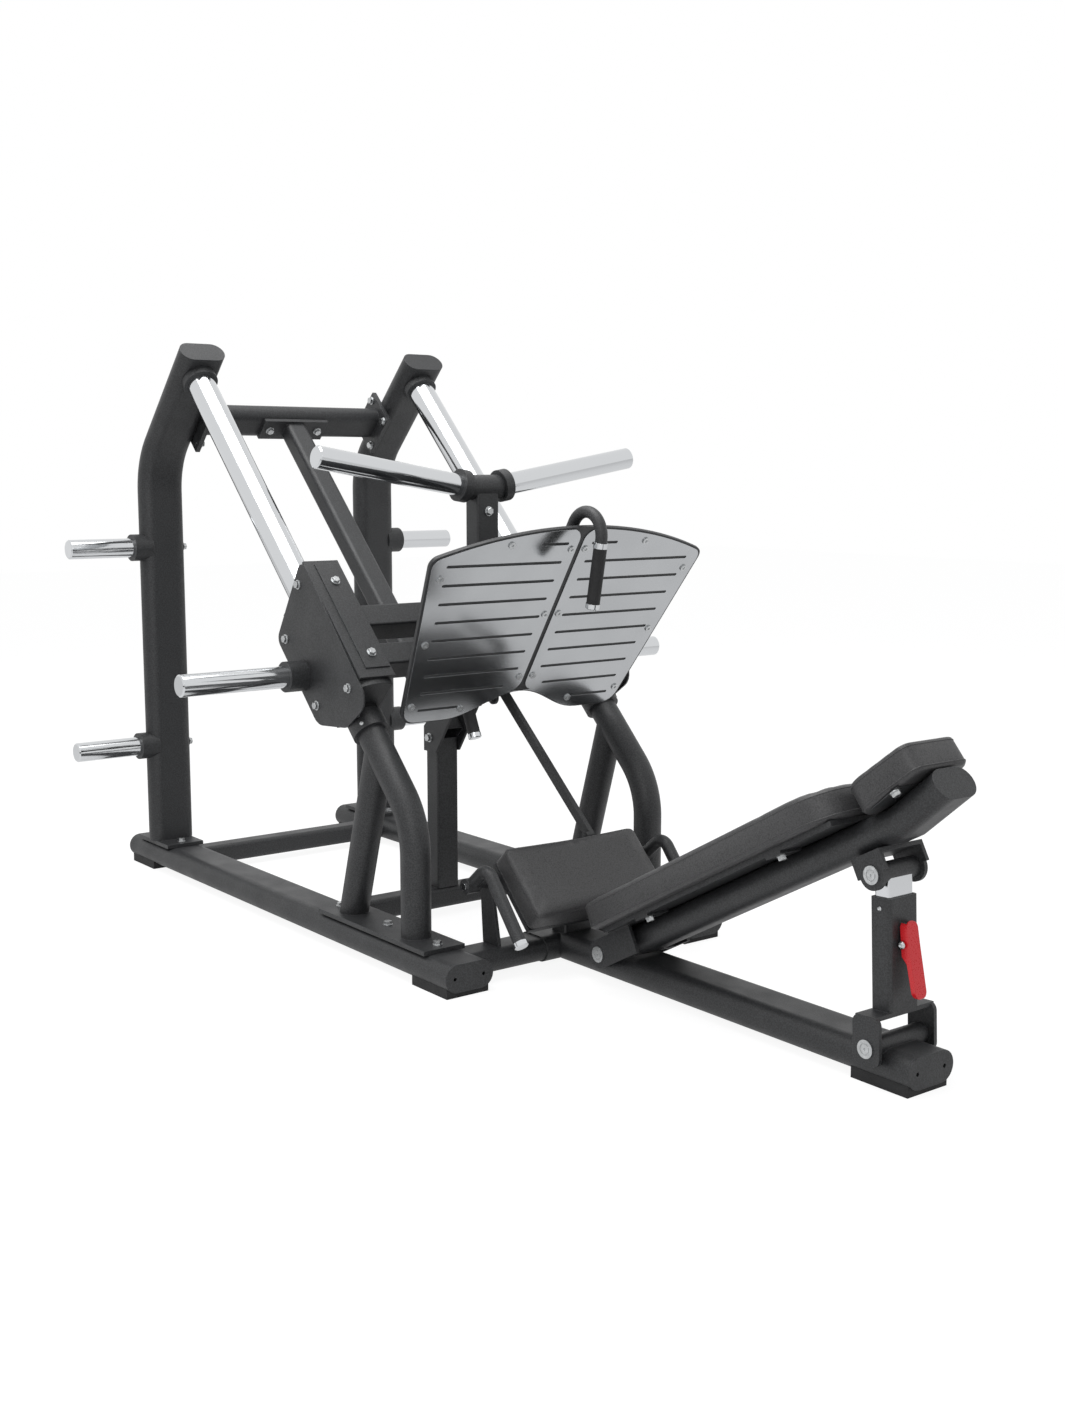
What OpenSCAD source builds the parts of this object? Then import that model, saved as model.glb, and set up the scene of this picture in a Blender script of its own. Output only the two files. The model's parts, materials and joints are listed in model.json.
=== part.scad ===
// Plate-loaded 45 degree leg press: base, uprights, guide rods, carriage, seat and back rest.
// +X runs from the uprights to the head end, +Y across, +Z up; the floor is Z = 0.
// The origin is on the floor, below the middle of the whole machine.

/* [Base] */
// Length of the base, rear of the side rails to the front of the spine
base_len = 2480; // [2400:10:2600]
// Length of each side rail
rail_len = 1553; // [1500:5:1600]
// Distance between the centrelines of the two side rails
track_w = 660; // [620:5:700]
// Width of the flat-oval frame tube
tube_w = 120; // [110:1:130]
// Thickness of the flat-oval frame tube
tube_h = 60; // [54:1:66]
// Wall of the frame tubes
tube_wall = 3; // [2:0.5:4]
// Height of the rubber feet below the rails
foot_h = 12; // [10:1:18]
// Length of a rubber foot along the machine
foot_len = 130; // [100:1:140]
// Width of a rubber foot across the rail
foot_w = 105; // [90:1:110]
// Distance of a foot from the end of its tube
foot_inset = 7; // [5:1:15]
// Thickness of the plastic end caps
cap_t = 6; // [4:0.5:8]
// Distance between the two screws of an end cap
cap_screw_pitch = 72; // [60:1:76]

/* [Cross beams] */
// Height of the cross beams
cross_h = 50; // [44:1:54]
// Width of the rear and middle cross beams
cross_w = 58; // [54:1:70]
// Width of the front cross beam
front_cross_w = 96; // [80:1:104]
// Rear cross beam, from the rear of the rails
rear_cross_at = 223; // [200:1:260]
// Middle cross beam, from the rear of the rails
mid_cross_at = 973; // [940:1:1000]
// Front cross beam, from the rear of the rails
front_cross_at = 1462; // [1440:1:1480]

/* [Uprights] */
// Uprights, from the rear of the rails
upright_at = 138; // [120:1:160]
// Height at which the upright turns forward
lean_z = 1094; // [1050:1:1120]
// Length of the leaning top of the upright
lean_len = 387; // [370:1:400]
// Lean of the top of the upright from the horizontal
lean_angle = 45; // [43:0.5:47]
// Bend radius of the bent frame tubes
bend_r = 180; // [150:5:200]
// Length of the upright's foot plate
upright_plate_len = 180; // [160:2:200]
// Width of the foot plates on the rails
plate_w = 104; // [90:1:110]
// Thickness of the foot plates on the rails
plate_t = 10; // [8:1:12]
// Place of the top cross beam along the leaning part
top_beam_at = 158; // [140:1:180]
// Width of the top cross beam
top_beam_w = 90; // [80:1:100]
// Width of the diagonal centre beam across the machine
diag_w = 60; // [50:1:70]
// Depth of the diagonal centre beam
diag_h = 50; // [40:1:60]
// Centre post, size along the machine
post_d = 50; // [40:1:54]
// Centre post, size across the machine
post_w = 60; // [50:1:80]

/* [Guide rods] */
// Diameter of the chromed guide rods
rod_d = 70; // [60:1:74]
// Wall of the chromed guide rods
rod_wall = 6; // [4:0.5:8]
// Place of the rod along the leaning part of the upright
rod_at = 322; // [300:1:330]
// Length of the guide rod from the upright to its end in the leg
rod_len = 1106; // [1090:1:1120]
// Outer diameter of the collars that hold the rods
collar_d = 84; // [84:1:94]
// Length of the lower clamp collar
clamp_len = 44; // [36:1:50]
// Length of the socket at the top of the rod
socket_len = 18; // [12:1:24]
// Thickness of the rubber bumper on the lower collar
bumper_t = 14; // [10:1:20]

/* [Legs] */
// Diameter of the leg tubes
leg_d = 66; // [60:1:68]
// Front leg tube, from the rear of the rails
leg_front_at = 1354; // [1345:1:1364]
// Foot of the rear leg tube, from the rear of the rails
leg_rear_at = 1098; // [1085:1:1110]
// Lean of the rear leg tube from the vertical
leg_rear_lean = 17; // [15:0.5:19]
// Length of the foot plate of the legs
leg_plate_len = 436; // [420:2:450]

/* [Weight horns] */
// Diameter of the weight horns
horn_d = 50; // [48:1:51]
// Diameter of the horn collars
horn_collar_d = 70; // [64:1:76]
// Length of the storage horns beyond their collars
storage_len = 173; // [160:1:220]
// Height of the upper storage horns
storage_z_high = 873; // [820:1:900]
// Height of the lower storage horns
storage_z_low = 343; // [320:1:400]
// Length of a storage horn collar beyond the tube
storage_collar_len = 26; // [20:1:40]
// Length of the carriage horns beyond their collars
side_horn_len = 259; // [230:1:300]
// Length of the collars of the carriage horns
side_collar_len = 49; // [40:1:60]
// Length of the two top horns from the hub to their ends
top_horn_len = 374; // [340:1:400]
// Rise of the two top horns
top_horn_rise = 9.5; // [6:0.5:12]

/* [Carriage] */
// Distance of the carriage's top bearing face from the upright, along the rods
carriage_at = 745; // [700:1:760]
// Length of the carriage's bearing box along the rods
box_len = 340; // [320:1:345]
// Half width of the bearing box across its rod
box_half = 43; // [38:1:46]
// Thickness of the carriage's side plates
side_plate_t = 4; // [3:1:8]
// Distance of the carriage's front cover from the rod axis
cover_n = 104; // [95:1:110]
// Distance of the carriage's rear edge from the rod axis
rear_n = 106; // [95:1:112]
// Outer diameter of the bearing housings
housing_d = 96; // [92:1:100]
// Length of each bearing housing
housing_len = 100; // [80:1:120]
// Outer diameter of the linear bearings
bearing_d = 75; // [74:1:76]
// Radial running clearance of the linear bearings
bearing_gap = 0.06; // [0.02:0.01:0.1]
// Side of the square carriage cross beams
beam_side = 60; // [50:1:66]
// Place of the upper carriage beam along the rods, from the upright
beam_high_at = 896; // [880:1:905]
// Place of the lower carriage beam along the rods, from the upright
beam_low_at = 1008; // [990:1:1020]
// Distance of the carriage beams' centres from the rod plane
beam_n = 62; // [58:1:66]

/* [Foot plate] */
// Half width of the foot plate at its top corners
plate_half_top = 372; // [340:1:400]
// Half width of the foot plate at its bottom corners
plate_half_low = 300; // [280:1:320]
// Height of the top of the foot plate above its middle row of slots
plate_up = 232; // [220:1:240]
// Height of the top corners above the middle row of slots
plate_corner_up = 160; // [150:1:170]
// Depth of the bottom of the foot plate below its middle row of slots
plate_down = 278; // [270:1:290]
// Depth of the middle of the bottom edge
plate_notch = 213; // [206:1:220]
// Radius of the plate's outer corners
plate_corner_r = 24; // [16:1:30]
// Thickness of the black backing plate
backing_t = 8; // [6:1:10]
// Thickness of the polished cover plates
skin_t = 2; // [1.5:0.5:3]
// Width of the gap between the two cover plates
skin_split = 12; // [8:1:16]
// Distance between two rows of slots
slot_pitch = 48; // [44:1:50]
// Width of a slot
slot_w = 7; // [5:1:9]
// Lean of the foot plate from the vertical
foot_plate_lean = 32.5; // [31:0.5:34]
// Foot plate's middle row, from the upright along the rods
foot_plate_s = 1129; // [1122:1:1136]
// Foot plate's middle row, above the rod plane
foot_plate_n = 335; // [325:1:345]

/* [Seat] */
// Width of the seat pad
seat_w = 370; // [340:5:400]
// Length of the seat pad along its slope
seat_len = 185; // [170:5:200]
// Thickness of the seat pad
seat_t = 60; // [50:1:64]
// Slope of the seat
seat_slope = 45; // [43:0.5:47]
// Upper edge of the seat pad, from the rear of the rails
seat_at = 1473; // [1460:1:1480]
// Height of the upper edge of the seat pad
seat_z = 283; // [276:1:290]
// Thickness of the boards under the pads
board_t = 10; // [8:1:12]

/* [Back rest] */
// Back rest pivot, from the front of the base
back_pivot_at = 820; // [800:1:830]
// Height of the back rest pivot
back_pivot_z = 68; // [66:1:70]
// Slope of the back rest at rest
back_slope = 28.4; // [27.5:0.1:29]
// Length of the back rest tube to its bend
back_len = 852; // [840:1:860]
// Bend in the back rest tube
back_bend = 12; // [10:0.5:13]
// Length of the back rest tube beyond its bend
back_head_len = 122; // [115:1:130]
// Width of the back rest tube
back_tube_w = 100; // [90:1:110]
// Width of the back rest pad
back_pad_w = 270; // [250:5:290]
// Start of the back rest pad, from the pivot
back_pad_from = 60; // [55:1:70]
// Gap between the back rest pad and the bend of the back rest
back_pad_end = 54; // [50:1:70]
// Thickness of the back rest and head pads
pad_t = 61; // [50:1:66]
// Half width of the head pad
head_half = 100; // [90:1:105]
// Half width of the head pad at its end
head_half_end = 72; // [60:1:80]
// Length of the head pad
head_len = 162; // [150:1:170]

/* [Strut] */
// Strut's lower pivot, from the front of the base
strut_at = 82; // [76:1:90]
// Height of the strut's lower pivot
strut_z = 74; // [72:1:78]
// Strut's upper pivot, along the back rest tube from its pivot
strut_back_at = 784; // [776:1:790]
// Distance of the strut's upper pivot below the back rest tube's centreline
strut_drop = 69; // [64:1:72]
// Width of the strut's outer tube
strut_w = 76; // [70:1:80]
// Depth of the strut's outer tube
strut_d = 46; // [42:1:50]
// Wall of the strut's outer tube
strut_wall = 5; // [4:0.5:6]
// Length of the strut's outer tube
strut_len = 203; // [190:1:210]
// Diameter of the pivot pins
pin_d = 20; // [16:1:22]
// Outer diameter of the pivot sleeves
sleeve_d = 38; // [34:1:42]
// Radial clearance of the pivot pins
pin_gap = 0.08; // [0.03:0.01:0.1]
// Diameter of the pin caps
pin_cap_d = 34; // [30:1:38]
// Thickness of the clevis plates
clevis_t = 8; // [6:1:10]

/* [Release levers] */
// Release lever shaft, from the rear of the rails
lever_at = 1441; // [1438:1:1444]
// Height of the release lever shaft
lever_z = 199; // [197:1:201]
// Distance of each release handle from the middle
lever_y = 247; // [240:1:255]
// Diameter of the release handles
lever_d = 28; // [24:1:30]
// Length of the straight part of a release handle
lever_len = 150; // [130:1:160]
// Bend radius of a release handle
lever_bend_r = 27; // [24:1:30]
// Radius of the crank that moves the link
crank_r = 63; // [60:1:66]
// Diameter of the release lever shaft
shaft_d = 20; // [16:1:22]
// Length of the link between the crank and the stop arm
link_len = 506; // [495:1:515]
// Width of the link
link_w = 22; // [18:1:24]
// Place of the link across the machine
link_y = 100; // [90:1:110]

/* [Hidden] */
$fn = 64;

// Colours
black = "#3a3b3c";
chrome = "#d4d6d8";
steel = "#b9bbbd";
rubber = "#232324";
leather = "#303031";
red = "#c8232b";

// Base
back_angle = back_slope + back_bend;
back_reach = back_len * cos(back_slope) + (back_head_len + cap_t) * cos(back_angle) + tube_h / 2
    * sin(back_angle);
total_len = base_len - back_pivot_at + back_reach;
rear_x = -total_len / 2;
front_x = rear_x + base_len;
rail_y = track_w / 2;
rail_z = foot_h + tube_h / 2;
rail_top = foot_h + tube_h;
cross_z = rail_z;
cross_r = 12;
foot_wrap = 12;
joint_wall = 3;
seat_gap = 0.02;
cap_gap = 0.2;
pin_cap_t = 3;
board_in = 6;
horn_chamfer = 3;
horn_root_d = horn_d - 4;
collar_sink = 24;
cap_hole_d = 8;
rear_cross_x = rear_x + rear_cross_at;
mid_x = rear_x + mid_cross_at;
front_cross_x = rear_x + front_cross_at;
spine_joint_l = 34;

// Uprights and the frame of the guide rods: s runs down the rods, n up and forward from them
turn = 90 - lean_angle;
upright_x = rear_x + upright_at;
bend_run = bend_r * tan(turn / 2);
rod_angle = 90 - lean_angle;
rod_top_x = upright_x + rod_at * cos(lean_angle);
rod_top_z = lean_z + rod_at * sin(lean_angle);
rod_from = tube_h / 2;
rod_end = rod_from + rod_len;
socket_d = 88;
collar_from = rod_end - clamp_len / 2;
rest_s = collar_from - bumper_t;
plate_top = rail_top + plate_t;
lug_t = 6;
lug_w = 108;
lug_len = 128;
bolt_d = 10;
bolt_head = 18;
bolt_head_h = 7;
lug_bolt_x = 41;
lug_bolt_z = 46;
set_screw_d = 9;
set_screw_turn = 50;
diag_n = top_beam_at - rod_at;
diag_from = cross_h / 2 + plate_t;
diag_flange_w = 190;
diag_bolt_y = 72;
diag_end = (mid_x - rod_top_x - diag_n * sin(rod_angle)) / cos(rod_angle) + post_d;
diag_end_z = rod_top_z - (diag_end - post_d) * sin(rod_angle) + diag_n * cos(rod_angle);

// Legs
leg_x = rear_x + leg_front_at;
leg_rear_x = rear_x + leg_rear_at;
leg_wall = 3;
leg_vertex_s = (leg_x - rod_top_x) / cos(rod_angle);
leg_vertex_z = rod_top_z - leg_vertex_s * sin(rod_angle);
leg_turn = 90 - rod_angle;
leg_run = bend_r * tan(leg_turn / 2);
leg_plate_front = leg_x + 108;
leg_bolts = [leg_plate_front - leg_plate_len + 14, leg_x - 114, leg_plate_front - 27];
leg_rear_h = (rod_top_z - plate_top - (leg_rear_x - rod_top_x) * tan(rod_angle))
    / (1 + tan(leg_rear_lean) * tan(rod_angle));

// Carriage, in the frame of the guide rods
plate_out = box_half + side_plate_t;
housing_low_from = rest_s - 0.3 - housing_len;
housing_high_from = carriage_at + 24;
box_to = carriage_at + box_len;
nose_to = rest_s + 38;
horn_s = 928;
horn_n = -73;
inner_plate_t = 8;
box_in = plate_out - inner_plate_t;
side_plate_rs = [22, 24, 50, 40, 36];
side_plate_pts = [
    [carriage_at - 7, cover_n + 10],
    [carriage_at + 46, -rear_n],
    [box_to - 39, -rear_n],
    [nose_to - 10, -12],
    [nose_to + 10, cover_n - 4]
];
housing_bore = bearing_d;
plate_bolts = [[carriage_at + 26, 61], [carriage_at + 73, -74], [box_to - 12, 60], [box_to - 72, -76]];
cover_t = 6;
cover_pad_w = 62;
cover_pad_in = 12;
cover_bolts = [carriage_at + 65, carriage_at + 276];
beam_half_y = rail_y - plate_out;
hub_d = 57;
hub_s = 752;
hub_n = 350;
hub_half = 46;
horn_rise = 2;
ring_w = 22;
ring_d = 74;
hub_x = rod_top_x + hub_s * cos(rod_angle) + hub_n * sin(rod_angle);
hub_z = rod_top_z - hub_s * sin(rod_angle) + hub_n * cos(rod_angle);
horn_post_w = 60;
horn_post_d = 50;
beam_low_x = rod_top_x + beam_low_at * cos(rod_angle) + beam_n * sin(rod_angle);
beam_low_z = rod_top_z - beam_low_at * sin(rod_angle) + beam_n * cos(rod_angle);
post_bolt_drop = 54;
post_bolt_z = hub_z - post_bolt_drop;
beam_high_x = rod_top_x + beam_high_at * cos(rod_angle) + beam_n * sin(rod_angle);
beam_high_z = rod_top_z - beam_high_at * sin(rod_angle) + beam_n * cos(rod_angle);

// Foot plate, in its own frame: y across, v up the plate, w out of its face
foot_x = rod_top_x + foot_plate_s * cos(rod_angle) + foot_plate_n * sin(rod_angle);
foot_z = rod_top_z - foot_plate_s * sin(rod_angle) + foot_plate_n * cos(rod_angle);
back_w = skin_t + backing_t;
skin_scale = 0.985;
slot_rows = [-5, -4, -3, -2, -1, 0, 1, 2, 3, 4];
plate_screws = [[19, 177], [19, 5], [19, -168], [183, 193], [334, 114], [311, -57], [287, -228],
    [152, -246]];
notch_half = 190;
slot_margin = 42;
slot_arc_margin = 35;
slot_from = 35;
plate_screw_d = 9;
arm_t = 10;
rib_down = 150;
rib_up = 120;
arm_y = 120;
grip_d = 29;
neck_d = 26;
neck_r = 50;
neck_w = -43;
neck_v = 217;
neck_from = 120;
grip_lean = 21.5;
grip_len = 120;
ring_len = 12;
low_grip_y = -64;
low_grip_lean = 23.6;
low_grip_from = 18;
low_grip_neck = 94;
low_grip_len = 152;
bracket_d = 50;
bracket_z = 880;
plate_low_r = 40;
arc_r = (pow(plate_half_top, 2) + pow(plate_up - plate_corner_up, 2)) / (2
    * (plate_up - plate_corner_up));
inner_corner_r = 30;

// Seat
seat_x = rear_x + seat_at;
seat_post_w = 80;
seat_post_d = 50;
seat_post_x = front_cross_x + 17;
seat_plate_from = 56;
seat_plate_in = 55;

// Back rest, in its own frame: a runs along the tube from the pivot, w up from it
back_x = front_x - back_pivot_at;
clevis_half = 58;
pivot_half = 74;
base_half = 78;
pad_base = tube_h / 2 + board_t;
back_pad_len = back_len - back_pad_from - back_pad_end;
strut_x = front_x - strut_at;
strut_top_x = back_x + strut_back_at * cos(back_slope) + strut_drop * sin(back_slope);
strut_top_z = back_pivot_z + strut_back_at * sin(back_slope) - strut_drop * cos(back_slope);
strut_reach = norm([strut_top_x - strut_x, strut_top_z - strut_z]);
strut_lean = atan2(strut_x - strut_top_x, strut_top_z - strut_z);
fork_h = 60;
fork_low = 30;
fork_w = 60;
lug_half = 10;
lug_out = 10;
lug_h = 24;
clevis_w = 70;
back_from = 83;
pad_board_from = back_pad_from + 20;
board_half = 106;
bracket_at = [back_pad_from + 150, back_pad_from + back_pad_len - 180];
bracket_w = 40;
bracket_t = 6;
pad_bolt_y = 84;
head_from = -30;
head_plate_t = 2;
head_bolt_at = 66;
strut_travel = 104;
post_gap = 0.5;
open_gap = 2;
inner_w = strut_w - 2 * strut_wall - 2 * post_gap;
inner_d = strut_d - 2 * strut_wall - 2 * post_gap;
handle_at = 181;
handle_out = 24;
handle_w = 30;
handle_len = 138;
handle_up = 42;
handle_wall = 4;
handle_pin_d = 8;
handle_rs = [4, 6, 20, 4, 3, 12, 4];
handle_pts = [
    [2, handle_up],
    [16, handle_up],
    [22, 0],
    [handle_out + 14, handle_up - handle_len],
    [handle_out + 5, handle_up - handle_len],
    [17, -34],
    [6, -22]
];
handle_hollow = [
    [-strut_d / 2, 80],
    [9, 80],
    [18, 0],
    [handle_out + 6, 20 - handle_len],
    [-strut_d / 2, 20 - handle_len]
];
pin_at = handle_at + 30;
lock_d = 12;

// Release levers
lever_x = rear_x + lever_at;
crank_angle = 111.3;
link_rise = 41.6;
crank_t = 8;
crank_knee = [-34, 22];
crank_half = 9;
notch_gap = 6;
link_t = 12;
link_gap = 0.5;
crank_y = link_y - link_t / 2 - link_gap - crank_t;
stop_plate_t = 6;
stop_bolt_z = diag_end_z - 45;
arm_plate_t = 8;
lever_plate_y = 205;
lever_up = 40;
lever_down = 50;
lever_arm = 52;
crank_x = crank_r * cos(crank_angle);
crank_z = crank_r * sin(crank_angle);
hook_r = 80;
hub_out_d = shaft_d + 14;
hook_t = 8;
hook_rs = [12, 12, 6, 8, 8, 12];
hook_pts = [[-16, -16], [16, -18], [20, 10], [hook_r - 26, 14], [hook_r - 28, 42], [-14, 18]];
stop_hook_y = post_w / 2 + stop_plate_t + hook_t / 2 + 1;
stop_half = stop_hook_y + hook_t / 2;
stop_x = lever_x - link_len * cos(link_rise);
stop_z = lever_z + link_len * sin(link_rise);
link_pin_d = 10;
lever_half = lever_y + 16;

function unit(v) = v / norm(v);

function left_of(v) = [-v[1], v[0]];

// Points of a polygon whose corners are rounded with the radii rs
function rounded(pts, rs) = [
    for (i = [0 : len(pts) - 1])
        let (
            n = len(pts),
            a = unit(pts[(i + n - 1) % n] - pts[i]),
            b = unit(pts[(i + 1) % n] - pts[i]),
            half = acos(a * b) / 2,
            mid = pts[i] + unit(a + b) * rs[i] / sin(half),
            out = atan2(-(a + b)[1], -(a + b)[0]),
            way = a[0] * b[1] - a[1] * b[0] > 0 ? -1 : 1
        )
        for (k = [0 : 6])
            mid + rs[i] * [cos(out + way * (90 - half) * (k / 3 - 1)),
                sin(out + way * (90 - half) * (k / 3 - 1))]
];

module oval(w, h) {
    square([w - h, h], center = true);
    for (side = [-1, 1]) translate([side * (w - h) / 2, 0]) circle(d = h);
}

module oval_ring(w, h, wall = tube_wall) {
    difference() {
        oval(w, h);
        oval(w - 2 * wall, h - 2 * wall);
    }
}

module soft_square(w, h, r) {
    square([w - 2 * r, h], center = true);
    square([w, h - 2 * r], center = true);
    for (i = [-1, 1], j = [-1, 1]) translate([i * (w / 2 - r), j * (h / 2 - r)]) circle(r = r);
}

module soft_ring(w, h, r, wall = tube_wall) {
    difference() {
        soft_square(w, h, r);
        soft_square(w - 2 * wall, h - 2 * wall, r - wall);
    }
}

module ring(d, wall) {
    difference() {
        circle(d = d);
        circle(d = d - 2 * wall);
    }
}

// Profile x to Y and y to Z, running along +X
module run_x(length) {
    rotate([90, 0, 90]) linear_extrude(length) children();
}

// Profile x to X and y to Z, centred across the machine
module run_y(length) {
    rotate([90, 0, 0]) linear_extrude(length, center = true) children();
}

// A cylinder across the machine, from y1 to y2
module across(d, y1, y2) {
    translate([0, y1, 0]) rotate([-90, 0, 0]) cylinder(d = d, h = y2 - y1);
}

// A hexagon bolt head with its washer, along +Z
module bolt_head() {
    cylinder(d = bolt_head + 4, h = 2);
    translate([0, 0, 2]) cylinder(d = bolt_head, h = bolt_head_h, $fn = 6);
}

// The frame of the guide rods: s along X, n along Z
module on_rods() {
    translate([rod_top_x, 0, rod_top_z]) rotate([0, rod_angle, 0]) children();
}

// The frame of the leaning part of the uprights: along it is Z
module on_lean() {
    translate([upright_x, 0, lean_z]) rotate([0, turn, 0]) children();
}

// The frame of the foot plate: v along Y, y along X, out of its face along Z
module on_foot_plate() {
    translate([foot_x, 0, foot_z]) rotate([0, foot_plate_lean, 0]) rotate([90, 0, 90]) children();
}

// The frame of the seat pad: down the slope is X, out of it is Z
module on_seat() {
    translate([seat_x, 0, seat_z]) rotate([0, seat_slope, 0]) children();
}

// The frame of the back rest
module on_back() {
    translate([back_x, 0, back_pivot_z]) rotate([0, -back_slope, 0]) children();
}

// The frame of the head end of the back rest
module on_head() {
    on_back() translate([back_len, 0, 0]) rotate([0, -back_bend, 0]) children();
}

// The frame of the strut: along it is Z
module on_strut() {
    translate([strut_x, 0, strut_z]) rotate([0, -strut_lean, 0]) children();
}

module rails_solid() {
    for (side = [-1, 1]) translate([rear_x, side * rail_y, rail_z]) run_x(rail_len) oval(tube_w, tube_h);
}

module side_rail(side) {
    color(black) translate([rear_x + cap_t, side * rail_y, rail_z])
        run_x(rail_len - 2 * cap_t) oval_ring(tube_w, tube_h);
}

module side_rail_left() { side_rail(-1); }

module side_rail_right() { side_rail(1); }

// A beam between the rails, coped to their round sides
module cross_beam(x) {
    color(black) difference() {
        translate([x, 0, cross_z]) run_y(2 * rail_y - tube_w + tube_h) children();
        rails_solid();
    }
}

module rear_cross_beam() { cross_beam(rear_cross_x) soft_ring(cross_w, cross_h, cross_r); }

module middle_cross_beam() { cross_beam(mid_x) soft_ring(cross_w, cross_h, cross_r); }

module front_cross_beam() {
    cross_beam(front_cross_x) oval_ring(front_cross_w, cross_h);
    color(black) difference() {
        translate([front_cross_x, 0, cross_z]) run_y(tube_w + 2 * spine_joint_l)
            oval(front_cross_w + 2 * joint_wall, cross_h + 2 * joint_wall);
        translate([front_cross_x, 0, cross_z]) run_y(track_w) oval(front_cross_w, cross_h);
    }
}

// Spine tube with the sleeves of the back rest pivot and of the strut pivot
module spine_beam() {
    color(black) difference() {
        union() {
            difference() {
                translate([front_cross_x, 0, rail_z])
                    run_x(front_x - cap_t - front_cross_x) oval_ring(tube_w, tube_h);
                translate([front_cross_x, 0, cross_z]) run_y(track_w)
                    oval(front_cross_w + 2 * joint_wall, cross_h + 2 * joint_wall);
            }
            translate([back_x, 0, back_pivot_z]) across(sleeve_d, -pivot_half + clevis_t + 1,
                pivot_half - clevis_t - 1);
            translate([strut_x, 0, strut_z]) across(sleeve_d, -base_half + clevis_t + 1,
                base_half - clevis_t - 1);
        }
        translate([back_x, 0, back_pivot_z]) across(pin_d + 2 * pin_gap, -tube_w, tube_w);
        translate([strut_x, 0, strut_z]) across(pin_d + 2 * pin_gap, -tube_w, tube_w);
    }
}

module cap_plate(w, h) {
    difference() {
        rotate([90, 0, 90]) linear_extrude(cap_t) oval(w, h);
        for (side = [-1, 1]) translate([-1, side * cap_screw_pitch / 2, 0]) rotate([0, 90, 0])
            cylinder(d = cap_hole_d, h = cap_t + 2);
    }
}

module end_caps() {
    color(black) {
        for (side = [-1, 1], x = [rear_x, rear_x + rail_len - cap_t])
            translate([x, side * rail_y, rail_z])
            cap_plate(tube_w, tube_h);
        translate([front_x - cap_t, 0, rail_z]) cap_plate(tube_w, tube_h);
        for (side = [-1, 1]) on_lean() translate([0, side * rail_y, lean_len - cap_t])
            linear_extrude(cap_t) rotate(90) oval(tube_w, tube_h);
    }
}

module rubber_feet() {
    rear_foot = rear_x + foot_inset;
    front_foot = rear_x + rail_len - foot_inset - foot_len;
    color(rubber) {
        difference() {
            for (side = [-1, 1], x = [rear_foot, front_foot])
                translate([x, side * rail_y - foot_w / 2, 0])
                cube([foot_len, foot_w, foot_h + foot_wrap]);
            rails_solid();
            translate([front_cross_x, 0, cross_z]) run_y(track_w) oval(front_cross_w, cross_h);
        }
        difference() {
            translate([front_x - foot_inset - foot_len, -foot_w / 2, 0])
                cube([foot_len, foot_w, foot_h + foot_wrap]);
            translate([rear_x, 0, rail_z]) run_x(base_len) oval(tube_w, tube_h);
        }
    }
}

// The path of an upright, with the profile of its children: x across, y along the machine
module upright_path(side) {
    translate([0, side * rail_y, 0]) {
        translate([upright_x, 0, lean_z - bend_run]) mirror([0, 0, 1])
            linear_extrude(lean_z - bend_run - plate_top) rotate(90) children();
        translate([upright_x + bend_r, 0, lean_z - bend_run]) rotate([90, 0, 180])
            rotate_extrude(angle = turn) translate([bend_r, 0]) rotate(90) children();
        on_lean() translate([0, 0, bend_run]) linear_extrude(lean_len - bend_run - cap_t) rotate(90)
            children();
    }
}

module uprights_solid() {
    for (side = [-1, 1]) upright_path(side) oval(tube_w, tube_h);
}

module upright(side) {
    inner = rail_y - tube_w / 2;
    color(black) {
        difference() {
            on_lean() translate([-lug_w / 2, side > 0 ? inner - 2 : -inner - lug_t + 2,
                top_beam_at - lug_len / 2])
                cube([lug_w, lug_t, lug_len]);
            on_lean() translate([0, side * rail_y, top_beam_at - lug_len])
                linear_extrude(2 * lug_len) rotate(90) oval(tube_w - tube_wall, tube_h - tube_wall);
            for (i = [-1, 1], j = [-1, 1]) on_lean()
                translate([i * lug_bolt_x, 0, top_beam_at + j * lug_bolt_z])
                    across(bolt_d, side > 0 ? inner - lug_t : -inner - lug_t,
                        side > 0 ? inner + lug_t : -inner + lug_t);
        }
        upright_path(side) oval_ring(tube_w, tube_h);
        translate([upright_x - upright_plate_len / 2, side * rail_y - plate_w / 2, rail_top])
            cube([upright_plate_len, plate_w, plate_t]);
    }
}

module upright_left() { upright(-1); }

module upright_right() { upright(1); }

module top_cross_beam() {
    half = rail_y - tube_w / 2 - 2;
    color(black) on_lean() translate([0, 0, top_beam_at]) {
        run_y(2 * (half - lug_t)) rotate(90) oval_ring(top_beam_w, cross_h);
        for (side = [-1, 1]) difference() {
            translate([-lug_w / 2, side > 0 ? half - lug_t : -half, -lug_len / 2])
                cube([lug_w, lug_t, lug_len]);
            for (i = [-1, 1], j = [-1, 1]) translate([i * lug_bolt_x, 0, j * lug_bolt_z])
                across(bolt_d, -half - 1, half + 1);
        }
    }
}

module diagonal_solid() {
    on_rods() translate([diag_from, 0, diag_n]) run_x(diag_end - diag_from)
        soft_square(diag_w, diag_h, cross_r);
}

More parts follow.
